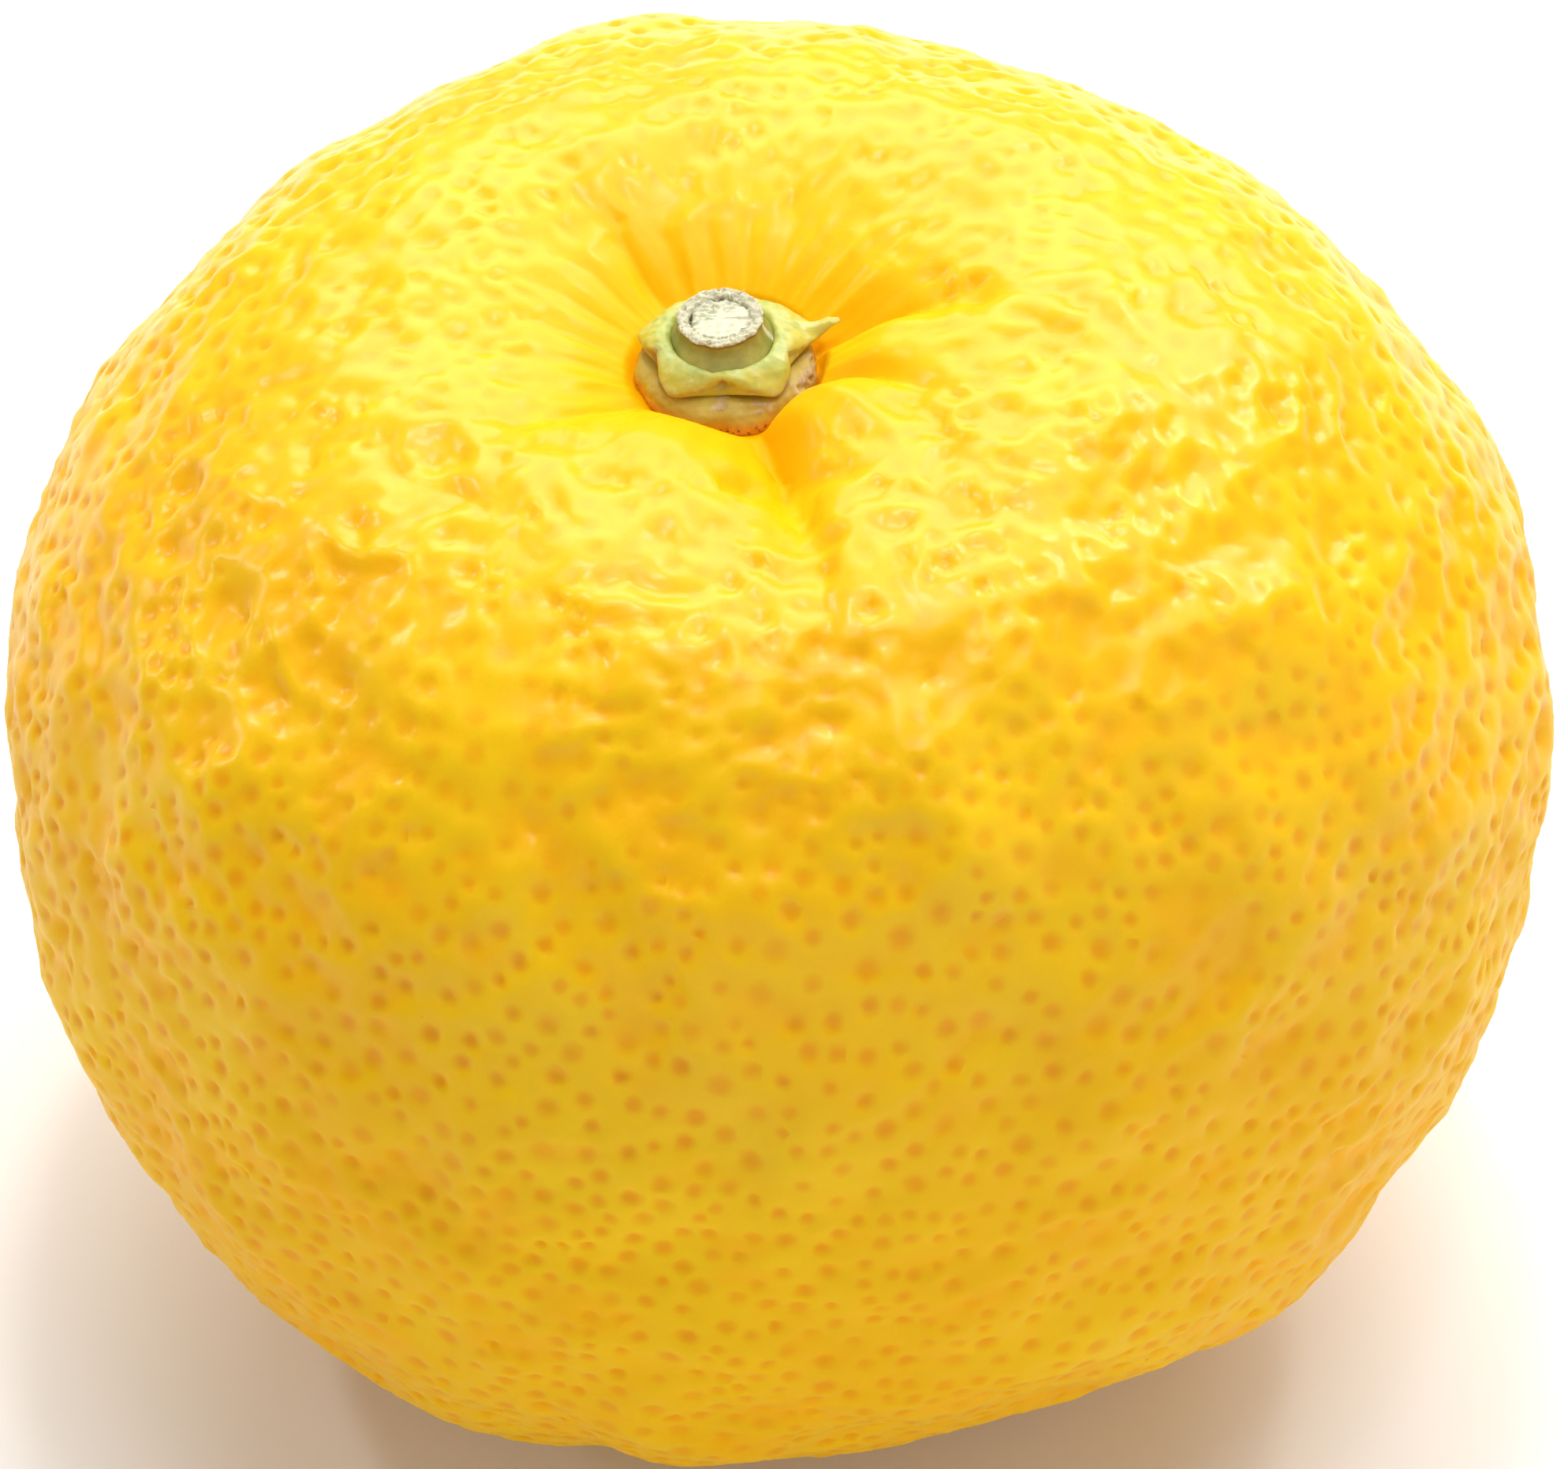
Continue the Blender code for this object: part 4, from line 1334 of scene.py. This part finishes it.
# Camera, from measurements of the photograph: size of the frame and focal length in pixels
FRAME_WIDTH = 1988
FOCAL_LENGTH = 9724
SENSOR_WIDTH = 36.0
CAMERA_ELEVATION = math.radians(44.0)
CAMERA_DISTANCE = 0.350
CAMERA_ASIDE = 16
CAMERA_DOWN = 76.5

# Soft boxes: direction from the fruit, width, height and distance in metres, and how bright they
# are against white paper
SOFT_BOXES = (
    ((0.12, 0.12, 1.00), 0.54, 0.54, 0.8, 2.6),
    ((0.15, 0.75, 0.62), 0.95, 0.45, 0.8, 4.6),
    ((0.90, -0.35, 0.45), 0.80, 0.80, 0.9, 0.52),
    ((0.00, -1.00, 0.30), 1.30, 0.60, 1.0, 0.75),
    ((0.00, 0.26, 0.95), 0.070, 0.070, 0.8, 68.0),
    ((0.10, -0.06, 0.99), 0.050, 0.050, 0.8, 33.0),
    ((-0.60, 0.35, 0.70), 0.065, 0.065, 0.8, 72.0),
    ((0.46, 0.51, 0.72), 0.070, 0.070, 0.8, 54.0),
    ((-0.88, 0.30, 0.38), 0.050, 0.050, 0.8, 58.0),
)


def floor_material(settings):
    """Pale matt paper with a very faint grain."""
    material, tree, shader = new_material("pale floor")
    cloudy = mottle(tree, 6.0, 2.0, 0.5, 0.3)
    dimmer = tuple(0.985 * value for value in settings.floor_colour)
    colour = mixed(tree, cloudy, settings.floor_colour, dimmer)
    dress(tree, shader, {"Base Color": colour, "Roughness": 0.9, "IOR": 1.2})
    return material


def add_soft_box(name, direction, width, height, distance, brightness, target):
    light = bpy.data.lights.new(name, "AREA")
    light.shape = "RECTANGLE"
    light.size, light.size_y = width, height
    light.energy = brightness * math.pi * width * height
    lamp = bpy.data.objects.new(name, light)
    bpy.context.scene.collection.objects.link(lamp)
    way = Vector(direction).normalized()
    lamp.location = target + way * distance
    lamp.rotation_euler = way.to_track_quat("Z", "Y").to_euler()


def add_camera(target):
    """The camera at the photograph's angle, aimed so that the fruit lies where it does there."""
    camera = bpy.data.objects.new("camera", bpy.data.cameras.new("camera"))
    bpy.context.scene.collection.objects.link(camera)
    away = Vector((0.0, -math.cos(CAMERA_ELEVATION), math.sin(CAMERA_ELEVATION)))
    upward = Vector((0.0, math.sin(CAMERA_ELEVATION), math.cos(CAMERA_ELEVATION)))
    camera.location = target + away * CAMERA_DISTANCE
    pixel = CAMERA_DISTANCE / FOCAL_LENGTH
    aim = target + Vector((CAMERA_ASIDE * pixel, 0.0, 0.0)) - upward * CAMERA_DOWN * pixel
    camera.rotation_euler = (aim - camera.location).to_track_quat("-Z", "Y").to_euler()
    camera.data.sensor_width = SENSOR_WIDTH
    camera.data.lens = FOCAL_LENGTH / FRAME_WIDTH * SENSOR_WIDTH
    camera.data.clip_start = 0.01
    bpy.context.scene.camera = camera


class YUZU_OT_stage(YuzuPiece, Operator):
    """Add the pale floor, the soft light and the camera"""

    bl_idname = "object.yuzu_stage"
    bl_label = "Stage"

    def execute(self, context):
        settings = context.scene.yuzu_stage
        ground = bmesh.new()
        bmesh.ops.create_circle(ground, cap_ends=True, segments=96, radius=3.0)
        mesh = bpy.data.meshes.new("floor")
        ground.to_mesh(mesh)
        ground.free()
        mesh.materials.append(floor_material(settings))
        floor = bpy.data.objects.new("floor", mesh)
        context.scene.collection.objects.link(floor)

        world = bpy.data.worlds.new("pale room")
        world.use_nodes = True
        room = world.node_tree.nodes["Background"]
        room.inputs["Color"].default_value = (1.0, 1.0, 1.0, 1.0)
        seen = node(world.node_tree, "ShaderNodeLightPath").outputs["Is Camera Ray"]
        pale = maths(world.node_tree, "MAXIMUM", seen, settings.sky)
        feed(world.node_tree, room.inputs["Strength"], pale)
        context.scene.world = world
        context.scene.view_settings.view_transform = "Standard"

        target = Vector(fruit_centre())
        for number, (way, width, height, distance, bright) in enumerate(SOFT_BOXES, 1):
            bright *= settings.exposure
            add_soft_box(f"soft box {number}", way, width, height, distance, bright, target)
        add_camera(target)
        return {"FINISHED"}


class YUZU_PT_sidebar(Panel):
    """Lists the pieces of the yuzu with their settings"""

    bl_idname = "YUZU_PT_sidebar"
    bl_label = "Yuzu"
    bl_space_type = "VIEW_3D"
    bl_region_type = "UI"
    bl_category = "Yuzu"

    def draw(self, context):
        scene = context.scene
        for settings, operators in (
            (scene.yuzu_rind, (YUZU_OT_rind,)),
            (scene.yuzu_button, (YUZU_OT_receptacle, YUZU_OT_calyx, YUZU_OT_stem)),
            (scene.yuzu_stage, (YUZU_OT_stage,)),
        ):
            box = self.layout.box()
            for name in settings.__annotations__:
                box.prop(settings, name)
            for operator in operators:
                box.operator(operator.bl_idname)


CLASSES = (
    YuzuRindSettings,
    YuzuButtonSettings,
    YuzuStageSettings,
    YUZU_OT_rind,
    YUZU_OT_receptacle,
    YUZU_OT_calyx,
    YUZU_OT_stem,
    YUZU_OT_stage,
    YUZU_PT_sidebar,
)


def register():
    for each in CLASSES:
        bpy.utils.register_class(each)
    bpy.types.Scene.yuzu_rind = PointerProperty(type=YuzuRindSettings)
    bpy.types.Scene.yuzu_button = PointerProperty(type=YuzuButtonSettings)
    bpy.types.Scene.yuzu_stage = PointerProperty(type=YuzuStageSettings)


def unregister():
    del bpy.types.Scene.yuzu_stage
    del bpy.types.Scene.yuzu_button
    del bpy.types.Scene.yuzu_rind
    for each in reversed(CLASSES):
        bpy.utils.unregister_class(each)


def main():
    register()
    bpy.ops.object.yuzu_rind()
    bpy.ops.object.yuzu_receptacle()
    bpy.ops.object.yuzu_calyx()
    bpy.ops.object.yuzu_stem()
    bpy.ops.object.yuzu_stage()


if __name__ == "__main__":
    main()
